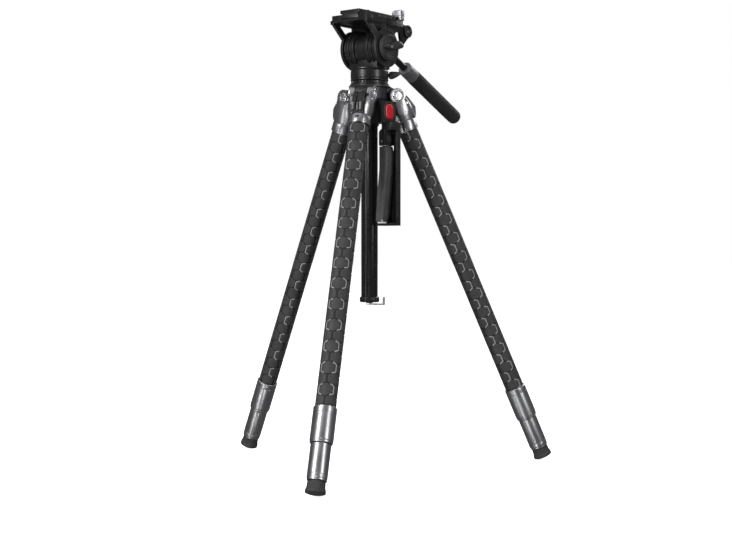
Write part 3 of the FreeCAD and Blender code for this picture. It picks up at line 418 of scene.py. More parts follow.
def block(bm, low, high, bevel=0.5, segments=3, turn=Matrix.Identity(4), material=0):
    """A box with rounded edges."""
    made = bmesh.ops.create_cube(bm, size=1)["verts"]
    low, high = Vector(low), Vector(high)
    for vertex in made:
        half = Vector((vertex.co[axis] * (high - low)[axis] for axis in range(3)))
        vertex.co = (low + high) / 2 + half
    edges = list(dict.fromkeys(edge for vertex in made for edge in vertex.link_edges))
    result = bmesh.ops.bevel(bm, geom=edges, offset=bevel, segments=segments, profile=0.5,
                             affect="EDGES", clamp_overlap=True)
    for vertex in {vertex for face in result["faces"] for vertex in face.verts}:
        vertex.co = turn @ vertex.co
        for face in vertex.link_faces:
            face.material_index = material


def disc(bm, radius, start, end, axis="z", at=(0, 0, 0), bevel=0.4, segments=48, material=0):
    """A short cylinder with rounded rims, along one axis."""
    turns = {"x": Matrix.Rotation(math.pi / 2, 4, "Y"), "y": Matrix.Rotation(-math.pi / 2, 4, "X"),
             "z": Matrix.Identity(4)}
    before = set(bm.verts)
    lathe(bm, rounded([(0, start), (radius, start), (radius, end), (0, end)], bevel, 3), segments,
          material=material)
    place = Matrix.Translation(at) @ turns[axis]
    for vertex in set(bm.verts) - before:
        vertex.co = place @ vertex.co


def slab(bm, outline, start, end, axes="yzx", bevel=0.5, material=0):
    """An outline run between two values of the third axis that is named, with rounded edges."""
    order = ["xyz".index(letter) for letter in axes]
    vertices = []
    for across, up in outline:
        point = [0.0, 0.0, 0.0]
        point[order[0]], point[order[1]], point[order[2]] = across, up, start
        vertices.append(bm.verts.new(point))
    bottom = bm.faces.new(vertices)
    bottom.material_index = material
    moved = bmesh.ops.extrude_face_region(bm, geom=[bottom])["geom"]
    tops = [item for item in moved if isinstance(item, bmesh.types.BMVert)]
    for vertex in tops:
        vertex.co[order[2]] = end
    faces = list(dict.fromkeys(face for vertex in vertices + tops for face in vertex.link_faces))
    for face in faces:
        face.material_index = material
    edges = list(dict.fromkeys(edge for face in faces for edge in face.edges))
    bmesh.ops.bevel(bm, geom=edges, offset=bevel, segments=2, profile=0.5, affect="EDGES",
                    clamp_overlap=True)


# ---- Legs ----

HEX_HALF_WIDTH = 12.0
HEX_HALF_HEIGHT = 10.83
ROW_PITCH = 16.25
FIRST_ROW = 65.5
GROOVE = 1.35
PAD_STEPS = (-1, -0.97, -0.9, -0.7, -0.4, 0, 0.4, 0.7, 0.9, 0.97, 1)
PAINTED_REFLECTION_LINE_HALF = 0.8
# Each leg's sleeve is turned on its own so that its light lines, partly painted reflection, lie where that leg
# catches the light.
SLEEVE_TURNS = {"front": 7, "left": -5, "right": 23}
PADS_ROUND = 4
PAD_HEIGHT = 0.75
SLEEVE_WALL = 0.98
COLLAR_WALL = 4.2
BOOT_HEIGHT = 18.8


def on_sleeve(arc, down, radius, nominal):
    """A point on the sleeve, from its arc length round from the outer side and its way down the leg."""
    angle = arc / nominal
    return Vector((radius * math.cos(angle), radius * math.sin(angle), -down))


def hex_reach(offset, inset):
    """Half the hexagon's width at a way up or down from its centre."""
    slope = HEX_HALF_WIDTH / (HEX_HALF_HEIGHT / 2)
    width = min(HEX_HALF_WIDTH, (HEX_HALF_HEIGHT - abs(offset)) * slope)
    return max(0.0, width - inset * (1.0 if abs(offset) < HEX_HALF_HEIGHT / 2 else 1.12))


def add_pad(bm, arc, centre, limits, floor, top, nominal):
    """One raised pad of the honeycomb, rounded at its rim and sunk a little into the sleeve."""
    reach = HEX_HALF_HEIGHT - GROOVE * 1.15
    levels = [centre + reach * step for step in PAD_STEPS]
    half = HEX_HALF_HEIGHT / 2
    levels += [centre - half, centre + half, centre - half * 0.5, centre + half * 0.5]
    levels = sorted(min(max(level, limits[0]), limits[1]) for level in levels)
    levels = [level for index, level in enumerate(levels)
              if index == 0 or level - levels[index - 1] > 0.02]
    if len(levels) < 3:
        return
    rows = []
    for level in levels:
        width = max(hex_reach(level - centre, GROOVE), 0.05)
        edge_down = min(reach - abs(level - centre), level - limits[0], limits[1] - level)
        row = []
        for step in PAD_STEPS:
            inside = min(width * (1 - abs(step)), max(edge_down, 0) * 1.3)
            lift = min(1.0, inside / 0.7) ** 0.5
            radius = floor + (top - floor) * lift
            row.append(bm.verts.new(on_sleeve(arc + width * step, level, radius, nominal)))
        rows.append(row)
    for first, second in zip(rows, rows[1:]):
        for index in range(len(PAD_STEPS) - 1):
            bm.faces.new([first[index], first[index + 1], second[index + 1], second[index]])


def add_line_and_painted_reflection(bm, path, radius, nominal, limits):
    """A light raised line that follows a path of (arc, down) points in a groove; it is partly the sleeve's own
    light outline and partly a painted reflection of light in the groove.
    """
    path = [(arc, min(max(down, limits[0]), limits[1])) for arc, down in path]
    dense = []
    for (arc_a, down_a), (arc_b, down_b) in zip(path, path[1:]):
        if math.hypot(arc_b - arc_a, down_b - down_a) < 0.05:
            continue
        dense += [(arc_a + (arc_b - arc_a) * t / 4, down_a + (down_b - down_a) * t / 4)
                  for t in range(4)]
    if not dense:
        return
    dense.append(path[-1])
    rows = []
    for index, (arc, down) in enumerate(dense):
        before, after = dense[max(index - 1, 0)], dense[min(index + 1, len(dense) - 1)]
        run = Vector((after[0] - before[0], after[1] - before[1])).normalized()
        normal = Vector((-run.y, run.x))
        row = []
        for side, lift in ((-1, -0.5), (-1, -0.1), (-0.6, 0), (0.6, 0), (1, -0.1), (1, -0.5)):
            spot = Vector((arc, down)) + normal * side * PAINTED_REFLECTION_LINE_HALF
            row.append(bm.verts.new(on_sleeve(spot.x, spot.y, radius + lift, nominal)))
        rows.append(row)
    for first, second in zip(rows, rows[1:]):
        for index in range(5):
            bm.faces.new([first[index], first[index + 1], second[index + 1],
                          second[index]]).material_index = 2
    for row in (rows[0], rows[-1]):
        bm.faces.new(row).material_index = 2


def grip_wrap(leg):
    """Honeycomb sleeve: black floor, raised pads and light lines round the outer pads, the lines partly a painted
    reflection of light in the grooves.
    """
    place = leg_frame(leg)
    node = f"{leg}_leg_grip_wrap"
    low, high = extent(node, place)
    top, start, end = high.x, -high.z, -low.z
    floor = top - PAD_HEIGHT
    inner = top - SLEEVE_WALL
    nominal = PADS_ROUND * HEX_HALF_WIDTH * 2 / TURN
    bm = bmesh.new()
    lathe(bm, rounded([(inner, -start), (floor, -start), (floor, -end), (inner, -end)], 0.2, 2), 96,
          material=1)
    limits = (start + 0.3, end - 0.3)
    half = HEX_HALF_HEIGHT / 2
    rows = int((end - FIRST_ROW) / ROW_PITCH) + 2
    for row in range(-1, rows):
        centre = FIRST_ROW + row * ROW_PITCH
        shift = HEX_HALF_WIDTH * (row % 2)
        for column in range(PADS_ROUND):
            arc = shift + column * 2 * HEX_HALF_WIDTH
            add_pad(bm, arc, centre, limits, floor - 0.05, top, nominal)
        if row % 2:
            sides = [(-2 * HEX_HALF_WIDTH, -1)]
        else:
            sides = [(HEX_HALF_WIDTH, -1), (-HEX_HALF_WIDTH, 1), (3 * HEX_HALF_WIDTH, 1),
                     (-3 * HEX_HALF_WIDTH, -1)]
        for arc, way in sides:
            reach_in, reach_down = HEX_HALF_WIDTH * 0.5, half * 0.5
            path = [(arc + way * reach_in, centre - half - reach_down), (arc, centre - half),
                    (arc, centre + half), (arc + way * reach_in, centre + half + reach_down)]
            # Lines only on these sides: light lines that are partly a painted reflection of light in the grooves.
            if centre + half > limits[0] and centre - half < limits[1]:
                add_line_and_painted_reflection(bm, path, top - 0.08, nominal, limits)
    turn = Matrix.Rotation(math.radians(SLEEVE_TURNS[leg]), 4, "Z")
    make_piece(f"{leg}_honeycomb_sleeve", bm, place @ turn, f"{leg}_leg", "wrap_rubber", (node,),
               ("wrap_groove", "wrap_line_and_painted_reflection"), sharp=60)


def lock_collar(leg, which, body, grooves):
    """Polished twist-lock collar with turned steps and a fine milled band."""
    place = leg_frame(leg)
    node = f"{leg}_leg_{which}_lock"
    low, high = extent(node, place)
    outer, top, bottom = high.x, high.z, low.z
    bore = outer - COLLAR_WALL
    corners = [(bore, top), (outer - 1.2, top), (outer, top - 1.2)]
    for depth in grooves:
        corners += [(outer, top - depth), (outer - 0.35, top - depth - 0.15),
                    (outer - 0.35, top - depth - 0.75), (outer, top - depth - 0.9)]
    corners += [(outer, bottom + 4.2), (outer - 0.5, bottom + 3.2), (outer - 0.5, bottom + 0.4),
                (outer - 0.9, bottom), (bore, bottom)]
    lathe_piece(f"{leg}_{which}_collar", corners, place, body, "gunmetal", (node,), 0.12, 128)


def rubber_foot(leg):
    """Rubber boot with moulded ribs, a flared rim and a domed sole."""
    place = leg_frame(leg)
    node = f"{leg}_leg_foot"
    low, high = extent(node, place)
    sole = low.z
    rim = high.x
    top = sole + BOOT_HEIGHT
    ribs = 28

    def rib(point, angle):
        on_flank = sole + 6.5 < point.y < top - 2.0 and point.x > 10
        return 0.28 * math.cos(ribs * angle) if on_flank else 0.0

    corners = [(0, top), (12.0, top), (12.75, top - 0.8), (12.9, top - 2.0, 0.2)]
    corners += [(12.95 + 0.04 * step, top - 2.2 - step, 0.1) for step in range(6)]
    corners += [(13.6, sole + 8.6, 0.4), (rim - 0.1, sole + 5.6, 1.0), (rim, sole + 2.4, 0.7),
                (rim - 1.2, sole + 1.75, 0.5), (rim - 2.0, sole + 1.75, 0.2),
                (rim - 2.4, sole + 1.35, 0.2), (9.0, sole + 0.5, 1.5), (0, sole)]
    lathe_piece(f"{leg}_rubber_boot", corners, place, f"{leg}_lower", "foot_rubber", (node,), 0.3,
                168, rib)


def angle_tab(leg):
    """Sprung angle tab with moulded ridges and a central channel."""
    place = leg_frame(leg)
    node = f"{leg}_leg_angle_tab"
    crest = extent(node, place)[1].x
    half, channel, back = 9.7, 2.6, 12.6
    bm = bmesh.new()
    flank = [(back, -5.2), (17.6, -5.0), (19.6, -9.5), (crest - 0.6, -26.0), (crest - 0.8, -28.5),
             (20.4, -38.2), (17.0, -43.0), (back, -43.0)]
    slab(bm, flank, -half, -channel, "xzy", 0.8)
    slab(bm, flank, channel, half, "xzy", 0.8)
    core = [(back, -5.6), (16.8, -5.6), (18.4, -10.0), (crest - 3.4, -27.0), (19.0, -38.0),
            (16.4, -42.6), (back, -42.6)]
    slab(bm, core, -channel - 0.3, channel + 0.3, "xzy", 0.3)
    for across in (-7.6, -5.2, 5.2, 7.6):
        rib = [(19.0, -11.5), (20.4, -11.0), (crest, -26.5), (crest - 1.6, -27.5)]
        slab(bm, rib, across - 0.6, across + 0.6, "xzy", 0.3)
    disc(bm, 1.8, -13.8, 13.8, "y", (15.4, 0, -9.5), 0.2, 24)
    make_piece(f"{leg}_angle_tab_ridged", bm, place, f"{leg}_tab", "black_paint", (node,))


def yoke_trim(leg):
    """A thin dark sheet under the tab, painted shade standing in for a recess, and a set screw on each side of the
    yoke.
    """
    place = leg_frame(leg)
    screw_radius, inner, outer, spot = 2.2, 18.6, 20.0, (9.5, 0, -15.4)
    bm = bmesh.new()
    # A dark sheet on the yoke's face: painted shade of a recess, not a hollow.
    block(bm, (17.1, -3.0, -51.5), (17.62, 3.0, -47.0), 0.2, 2)
    make_piece(f"{leg}_yoke_recess_painted_shade", bm, place, f"{leg}_leg", "black_plastic")
    bm = bmesh.new()
    disc(bm, screw_radius, inner, outer, "y", spot, 0.2, 24)
    disc(bm, screw_radius, -outer, -inner, "y", spot, 0.2, 24)
    make_piece(f"{leg}_yoke_screws", bm, place, f"{leg}_leg", "steel")


def cap_rings(leg):
    """A turned ring and a dimple on each pivot cap."""
    face = extent(f"{leg}_leg_pivot_bolt", leg_frame(leg))[1].y
    for side, name in ((1, "a"), (-1, "b")):
        flip = Matrix.Rotation(-side * math.pi / 2, 4, "X")
        corners = [(0, face - 0.1), (1.3, face - 0.1), (1.5, face + 0.35), (3.4, face + 0.4),
                   (3.6, face - 0.1), (5.2, face - 0.1), (5.4, face + 0.3), (6.4, face + 0.2),
                   (6.7, face - 0.3)]
        lathe_piece(f"{leg}_cap_ring_{name}", corners, leg_frame(leg) @ flip, f"{leg}_leg", "chrome",
                    (), 0.12, 64)


for leg in LEGS:
    grip_wrap(leg)
    lock_collar(leg, "upper", f"{leg}_leg", (9.0,))
    lock_collar(leg, "lower", f"{leg}_middle", (44.0,))
    rubber_foot(leg)
    angle_tab(leg)
    yoke_trim(leg)
    cap_rings(leg)


# ---- Spider, column clamp and squeeze grip ----

FACE_X = Matrix.Rotation(math.pi / 2, 4, "Y")


def offset(place, x=0, y=0, z=0):
    """A frame moved along its own axes, in millimetres."""
    return place @ Matrix.Translation(Vector((x, y, z)) * MM)


def lobes(count, depth, low, high):
    """A wave of rounded lobes round a turned piece, between two heights."""
    def wave(point, angle):
        return -depth * (0.5 + 0.5 * math.cos(count * angle)) if low < point.y < high else 0.0
    return wave


def clamp_knob():
    """Lobed knob of the column clamp."""
    place = upright_frame(JOINTS["column_clamp_turn"]["axis"])
    low, high = extent("column_lock_knob", place)
    knob_length, stem = 15.6, 3.0
    start, end, radius = high.x - knob_length, high.x, (high.y - low.y) / 2
    corners = [(0, low.x), (stem, low.x), (stem, start), (7.5, start), (9.0, start + 1.2),
               (radius, start + 3.0), (radius, end - 3.0), (radius - 1.4, end - 0.8),
               (radius - 3.0, end - 0.2), (5.0, end - 0.8), (0, end)]
    centre = offset(place, z=(low.z + high.z) / 2) @ FACE_X
    lathe_piece("column_clamp_lobed_knob", corners, centre, "column_clamp", "black_plastic",
                ("column_lock_knob",), 0.7, 144, lobes(8, 1.1, start + 2, end - 0.5))


def oval_loop(x, width, height, centre, power=2.7):
    """A closed oval in a plane square to X."""
    return [(x, across, centre + up) for across, up in loop_points(width, height, power, 64)]


def lock_button():
    """Crowned oval button in its bezel, with a short raised bar for the fingertip."""
    low, high = extent("lock_button", GRIP)
    width, height, middle = high.y - low.y, high.z - low.z, (low.z + high.z) / 2
    face = high.x
    bm = loft(bmesh.new(), [
        oval_loop(face - inward, width - 2 * inset, height - 2 * inset, middle)
        for inward, inset in ((6.3, 0.0), (1.5, 0.0), (0.9, 0.25), (0.45, 0.9), (0.2, 1.9), (0.06, 3.4))
    ])
    make_piece("lock_button_red", bm, GRIP, "button", "red_plastic", ("lock_button",), sharp=50)
    bm = bmesh.new()
    block(bm, (face - 0.3, -2.6, middle + 5.2), (face - 0.02, 2.6, middle + 6.2), 0.12, 2)
    make_piece("lock_button_bar", bm, GRIP, "button", "red_plastic")
    wall = extent("grip_housing", GRIP)[1].x
    bm = loft(bmesh.new(), [
        oval_loop(wall + outward, width + 2 * grow, height + 2 * grow, middle)
        for outward, grow in ((-0.2, 3.4), (0.5, 3.3), (0.95, 2.8), (1.05, 2.2), (0.9, 1.2),
                              (0.2, 0.5), (-2.5, 0.4))
    ], capped=False)
    make_piece("button_bezel", bm, GRIP, "spider", "black_plastic", sharp=50)


GRIP_HEAD_FACE = 46.5
LIP_RIBS = 44
LIP_RIB_PITCH = 3.0


def grip_head_details():
    """A screw and the hinge's boss on the grip's head."""
    face = GRIP_HEAD_FACE
    bm = bmesh.new()
    disc(bm, 2.1, face - 0.3, face + 0.6, "x", (0, 7.4, 528.0), 0.25, 32)
    make_piece("grip_head_screw", bm, GRIP, "spider", "steel")
    bm = bmesh.new()
    hinge = (0, -1.0, 518.0)
    disc(bm, 5.4, face - 0.3, face + 0.3, "x", hinge, 0.2, 48)
    disc(bm, 3.9, face - 0.2, face + 0.55, "x", hinge, 0.2, 48)
    make_piece("grip_hinge_boss", bm, GRIP, "spider", "black_plastic")


def grip_frame_details():
    """Ribs along the grip's lip, and the thin web of its back plate beside the lever."""
    low, high = extent("grip_frame", GRIP)
    bm = bmesh.new()
    for index in range(LIP_RIBS):
        height = low.z + 14 + index * LIP_RIB_PITCH
        block(bm, (high.x - 0.4, 4.4, height), (high.x + 0.3, 11.6, height + LIP_RIB_PITCH / 2), 0.25, 2)
    make_piece("grip_lip_ribs", bm, GRIP, "spider", "black_plastic")
    bm = bmesh.new()
    foot, edge, head = low.z + 0.6, 45.0, 500.0
    web = [(27.0, foot), (edge, foot), (edge, head), (41.5, head), (41.0, 470.0), (37.5, 440.0),
           (34.5, 405.0), (27.5, 392.0)]
    slab(bm, web, 10.7, 12.3, "xzy", 0.3)
    make_piece("grip_back_web", bm, GRIP, "spider", "black_paint")


def lever_details():
    """The squeeze lever's silver band near its top, a painted highlight on the edge under the grip's head, and its
    bright tip.
    """
    low, high = extent("squeeze_lever", GRIP)
    bm = bmesh.new()
    # A silver band where the edge under the grip's head catches the light: a painted highlight.
    block(bm, (low.x + 7.9, low.y - 0.12, high.z - 11.4), (low.x + 19.5, high.y - 1.5, high.z - 10.0),
          0.3, 2)
    make_piece("lever_top_painted_highlight", bm, GRIP, "lever", "silver")
    bm = bmesh.new()
    block(bm, (low.x + 0.8, -9.0, low.z - 1.7), (low.x + 13.0, 9.0, low.z + 2.6), 0.8, 3)
    make_piece("lever_tip", bm, GRIP, "lever", "silver")


clamp_knob()
lock_button()
grip_head_details()
grip_frame_details()
lever_details()


# ---- Pan base ----

def base_ring():
    """Notched ring under the pan housing."""
    high = extent("head_base_ring", HEAD)[1]
    bottom = extent("column_top_plate", HEAD)[1].z
    top = extent("pan_housing", HEAD)[0].z - 0.4
    radius, seat = high.x, 12.0
    notches = 36

    def wave(point, angle):
        deep = max(0.0, math.cos(notches * angle)) ** 1.5
        return -1.3 * deep if point.x > radius - 1.5 and bottom + 0.4 < point.y < top - 0.2 else 0.0

    corners = [(5.0, bottom), (radius - 0.6, bottom), (radius, bottom + 0.6), (radius, top - 0.5),
               (radius - 0.5, top), (seat, top), (seat, high.z), (0, high.z)]
    lathe_piece("base_ring_notched", corners, HEAD, "column", "black_paint", ("head_base_ring",),
                0.2, notches * 12, wave)


def pan_housing():
    """Round pan housing with a step groove and a softened top edge."""
    low, high = extent("pan_housing", HEAD)
    radius, bottom, top = high.x, low.z, high.z
    corners = [(12.2, bottom), (radius - 0.9, bottom), (radius, bottom + 0.9), (radius, bottom + 2.7),
               (radius - 0.9, bottom + 3.0), (radius - 0.9, bottom + 3.9), (radius, bottom + 4.2),
               (radius, top - 2.2), (radius - 0.7, top - 1.0), (radius - 2.0, top - 0.1),
               (radius - 3.0, top), (0, top)]
    lathe_piece("pan_housing_turned", corners, HEAD, "pan_base", "black_paint", ("pan_housing",),
                0.3, 144)


def pan_lock_wing():
    """Drop-shaped wing of the pan lock."""
    low, high = extent("pan_lock_lever", PAN_LEVER)
    middle = (low.z + high.z) / 2
    tall, wide = (high.z - low.z) / 2, high.y
    bm = loft(bmesh.new(), [
        [(low.x + along, across, middle + lift + up)
         for across, up in loop_points(2 * wide * thick, 2 * tall * height, 2.3, 32)]
        for along, lift, thick, height in (
            (10.8, 0.3, 0.66, 0.62), (11.6, 0.0, 0.86, 0.86), (14.0, -0.1, 1.0, 0.97),
            (17.5, 0.2, 0.98, 0.94), (21.5, 1.0, 0.86, 0.78), (25.5, 2.0, 0.66, 0.56),
            (28.5, 2.9, 0.44, 0.36), (30.1, 3.4, 0.2, 0.16))
    ])
    disc(bm, 3.0, low.x, low.x + 12, "x", (0, 0, middle), 0.2, 32)
    make_piece("pan_lock_wing", bm, PAN_LEVER, "pan_lever", "black_plastic", ("pan_lock_lever",),
               sharp=50, levels=1)


base_ring()
pan_housing()
pan_lock_wing()


# ---- Tilt head ----

TILT = offset(HEAD, z=TILT_AXIS_HEIGHT) @ FACE_X
DISC_FACE = 34.6
KNOB_START = 35.1
DECK_TOP = 713.0


def mirrored(corners):
    """The same profile on the far side, in the order that keeps its skin outside."""
    return [(corner[0], -corner[1], *corner[2:]) for corner in corners]


def drums():
    """Stepped fluid drums, their dark core, the stand and the saddle under them."""
    low, high = extent("head_body", HEAD)
    half, stand = high.x, low.z
    radius, core, collar_height, saddle_height = 29.0, 24.6, 3.5, 15.5
    side = [(core, 0), (core, 9.2), (core + 0.8, 10.2), (radius - 0.6, 10.6), (radius, 11.4),
            (radius, 17.4), (radius - 0.5, 17.9), (radius - 2.2, 18.3), (radius - 2.2, 19.9),
            (radius - 0.4, 20.4), (radius, 20.9), (radius, 24.2), (radius - 0.6, 24.7),
            (radius - 2.4, 25.0), (radius - 2.4, 26.6), (radius - 1.0, 27.0), (radius - 0.8, half - 0.8),
            (radius - 1.6, half), (0, half)]
    bm = lathe(bmesh.new(), rounded(side, 0.3), 144)
    lathe(bm, rounded(mirrored(side), 0.3), 144)
    bmesh.ops.transform(bm, matrix=Matrix.Translation((0, 0, TILT_AXIS_HEIGHT)) @ FACE_X,
                        verts=bm.verts)
    collar_top = stand + collar_height
    foot = [(0, stand), (radius, stand), (radius, stand + 2.2), (radius - 1.0, collar_top),
            (0, collar_top)]
    lathe(bm, rounded(foot, 0.5), 144)
    block(bm, (-27.9, -17, stand + 0.5), (27.9, 17, stand + saddle_height), 1.0, 3)
    make_piece("fluid_drums", bm, HEAD, "pan_base", "black_paint", ("head_body",))


def disc_rings():
    """Turned rings on the outer face of each cradle disc."""
    face = DISC_FACE
    rings = [(22.3, face - 0.1), (22.3, face + 0.26), (24.4, face + 0.26), (24.7, face + 0.02),
             (25.3, face + 0.02), (25.6, face + 0.3), (27.4, face + 0.3), (27.7, face + 0.02),
             (28.3, face + 0.02), (28.6, face + 0.3), (29.8, face + 0.3), (30.5, face - 0.1)]
    for name, corners in (("near", rings), ("far", mirrored(rings))):
        lathe_piece(f"{name}_disc_rings", corners, TILT, "cradle", "black_paint", (), 0.1, 144)


def tilt_knob():
    """Dished knob with stepped rings and a sculpted lever wing."""
    start, stem, radius, face = extent("tilt_lock_knob", HEAD)[0].x, 3.3, 21.5, 42.0
    corners = [(0, start), (stem, start), (stem, KNOB_START), (radius - 0.6, KNOB_START), (radius, 35.8),
               (radius, 38.6), (radius - 0.6, 39.2), (radius - 0.9, 39.6), (radius - 0.9, 40.6),
               (radius - 2.2, face), (radius - 3.4, face), (radius - 3.8, face - 0.9),
               (radius - 4.8, face - 0.9), (radius - 5.2, face - 0.2), (radius - 6.4, face - 0.3),
               (radius - 6.8, face - 1.0), (0, face - 0.7)]
    lathe_piece("tilt_knob_dished", corners, TILT, "tilt_knob", "black_plastic",
                ("tilt_lock_knob",), 0.25, 144)
    base = face - 1.6
    stations = ((-17.9, -1.4, 1.6, 2.2), (-17.0, -2.3, 2.4, 3.2), (-13.0, -2.8, 3.0, 4.2),
                (-6.0, -3.2, 3.6, 5.0), (-1.0, -3.6, 4.2, 5.4), (2.0, -4.0, 6.2, 6.2),
                (7.0, -4.3, 9.6, 7.4), (13.0, -3.2, 11.9, 8.3), (19.0, -1.3, 11.8, 8.5),
                (24.0, 0.4, 9.8, 8.3), (27.4, 1.8, 7.4, 7.6), (28.8, 3.0, 5.8, 6.2))
    bm = loft(bmesh.new(), [
        [(base + tall * 0.5 + out, along, TILT_AXIS_HEIGHT + (under + over) / 2 + up)
         for up, out in loop_points(over - under, tall, 2.4, 32)]
        for along, under, over, tall in stations
    ])
    make_piece("tilt_knob_wing", bm, HEAD, "tilt_knob", "black_plastic", sharp=60, levels=1)
    bm = bmesh.new()
    disc(bm, 2.2, 45.0, 46.4, "x", (0, 0, TILT_AXIS_HEIGHT + 0.4), 0.3, 32)
    make_piece("tilt_knob_screw", bm, HEAD, "tilt_knob", "steel")


def drag_knob():
    """Ribbed drag knob on the far side."""
    low, high = extent("drag_knob", HEAD)
    radius, face, stem = high.y, low.x, 3.3
    corners = [(0, high.x), (stem, high.x), (stem, -KNOB_START), (radius - 1.0, -KNOB_START),
               (radius, -36.2),
               (radius, face + 2.0), (radius - 1.6, face + 0.3), (radius - 3.2, face),
               (radius - 4.0, face + 0.8), (8.0, face + 0.9), (7.4, face + 0.3), (0, face + 0.2)]
    lathe_piece("drag_knob_ribbed", corners, TILT, "drag", "black_plastic", ("drag_knob",), 0.3, 288,
                lambda point, angle: -0.35 * (0.5 + 0.5 * math.cos(48 * angle))
                if face + 1.5 < point.y < -36 else 0.0)


def rosette():
    """Toothed rosette with rings round a hexagon socket."""
    low, high = extent("rosette_cap", HEAD)
    radius, face, back = (high.y - low.y) / 2, high.x, low.x
    centre = offset(HEAD, y=(low.y + high.y) / 2, z=(low.z + high.z) / 2) @ FACE_X
    corners = [(0, face - 1.3), (2.9, face - 1.3), (3.2, face - 0.1), (5.3, face), (5.7, face - 0.9),
               (7.3, face - 0.9), (7.7, face - 0.1), (9.4, face - 0.1), (radius, face - 0.8),
               (radius, back)]

    def teeth(point, angle):
        return -0.35 * (0.5 + 0.5 * math.cos(36 * angle)) if point.x > radius - 0.2 else 0.0

    lathe_piece("rosette_rings", corners, centre, "cradle", "black_paint", ("rosette_cap",), 0.15,
                288, teeth)
    bm = bmesh.new()
    disc(bm, 2.5, face - 1.5, face - 0.5, "z", (0, 0, 0), 0.2, 6)
    make_piece("rosette_hexagon", bm, centre, "cradle", "steel")


def plate_pad():
    """Ribbed rubber pad, open round the camera screw."""
    low, high = extent("plate_pad", HEAD)
    screw_low, screw_high = extent("camera_screw", HEAD)
    middle = (screw_low.y + screw_high.y) / 2
    bm = bmesh.new()
    pitch = 2.4
    for start, end in ((low.y, middle - 8.0), (middle + 8.0, high.y)):
        block(bm, (low.x, start, low.z), (high.x, end, high.z - 0.35), 0.15, 2)
        count = int((end - start - 1.2) / pitch)
        for index in range(count):
            rib = start + 0.9 + index * pitch
            block(bm, (low.x + 0.8, rib, high.z - 0.5), (high.x - 0.8, rib + 1.3, high.z), 0.2, 2)
    make_piece("plate_pad_ribbed", bm, HEAD, "plate", "foot_rubber", ("plate_pad",))


def camera_screw():
    """Quarter-inch screw with its real thread."""
    low, high = extent("camera_screw", HEAD)
    centre = offset(HEAD, (low.x + high.x) / 2, (low.y + high.y) / 2)
    pitch, crest, depth = 1.27, 3.175, 0.55
    start, end = high.z - 4.9, high.z - 0.5
    head_radius = (high.x - low.x) / 2
    steps = 44
    profile = [Vector(point) for point in (
        (0, low.z), (head_radius, low.z), (head_radius, low.z + 5.2), (3.0, low.z + 5.2),
        (3.0, start))]
    profile += [Vector((crest, start + (end - start) * step / steps)) for step in range(1, steps)]
    profile += [Vector((crest - 0.35, end)), Vector((crest - 0.8, high.z)), Vector((0, high.z))]

    def thread(point, angle):
        if not start < point.y < end:
            return 0.0
        phase = ((point.y / pitch) - angle / TURN) % 1.0
        return -depth * abs(2 * phase - 1)

    bm = lathe(bmesh.new(), profile, 72, thread)
    make_piece("camera_screw_thread", bm, centre, "screw", "steel", ("camera_screw",), sharp=60)


def plate_lock():
    """Bright plate lock: a round barrel, a ribbed thumb block and its skirt."""
    low, high = extent("plate_lock_lever", HEAD)
    bm = bmesh.new()
    middle = (low.y + high.y) / 2
    under = high.z - 11.7
    disc(bm, 5.3, low.x, low.x + 6.0, "x", (0, middle, under + 5.7), 1.4, 48)
    block(bm, (low.x + 4.0, low.y + 0.5, under), (high.x - 0.5, high.y - 0.5, high.z - 0.2), 1.5, 4)
    block(bm, (high.x - 5.2, low.y + 0.5, 708.0), (high.x - 0.5, high.y - 0.5, under + 4), 1.0, 3)
    for index in range(4):
        height = under + 2.2 + index * 2.3
        block(bm, (low.x + 7.0, low.y, height), (high.x, high.y, height + 1.1), 0.4, 3)
    disc(bm, 2.0, low.z, under + 1, "z", (33.5, middle, 0), 0.2, 24)
    make_piece("plate_lock_ribbed", bm, HEAD, "plate_lever", "silver", ("plate_lock_lever",))


def deck_details():
    """A round boss and graduation marks on the deck's near side."""
    low, high = extent("tilt_cradle", HEAD)
    side, deck_top = high.x, DECK_TOP
    bm = bmesh.new()
    disc(bm, 4.2, side - 0.3, side + 0.35, "x", (0, low.y + 11, deck_top - 6.6), 0.25, 48)
    make_piece("deck_side_boss", bm, HEAD, "cradle", "black_plastic")
    bm = bmesh.new()
    for index in range(9):
        along = low.y + 30 + index * 4
        tall = 3.0 if index % 4 == 0 else 1.8
        block(bm, (side - 0.2, along, deck_top - 1.4 - tall), (side + 0.12, along + 0.5, deck_top - 1.4),
              0.05, 1)
    make_piece("deck_graduations", bm, HEAD, "cradle", "silver")


drums()
disc_rings()
tilt_knob()
drag_knob()
rosette()
plate_pad()
camera_screw()
plate_lock()
deck_details()


# ---- Pan handle ----

def handle_ring():
    """Bead-blasted collar on the handle's rod."""
    low, high = extent("pan_handle_ring", HANDLE)
    radius, start, end = high.x, low.z, high.z
    corners = [(6.1, start), (radius - 1.6, start), (radius - 0.6, start + 0.9),
               (radius - 0.1, start + 2.2), (radius, start + 8.0), (radius, end - 3.2),
               (radius - 0.4, end - 2.9), (radius - 0.4, end - 2.2), (radius, end - 1.9),
               (radius, end - 0.5), (radius - 0.5, end), (6.1, end)]
    lathe_piece("handle_collar", corners, HANDLE, "handle", "ring_finish", ("pan_handle_ring",), 0.25,
                144)


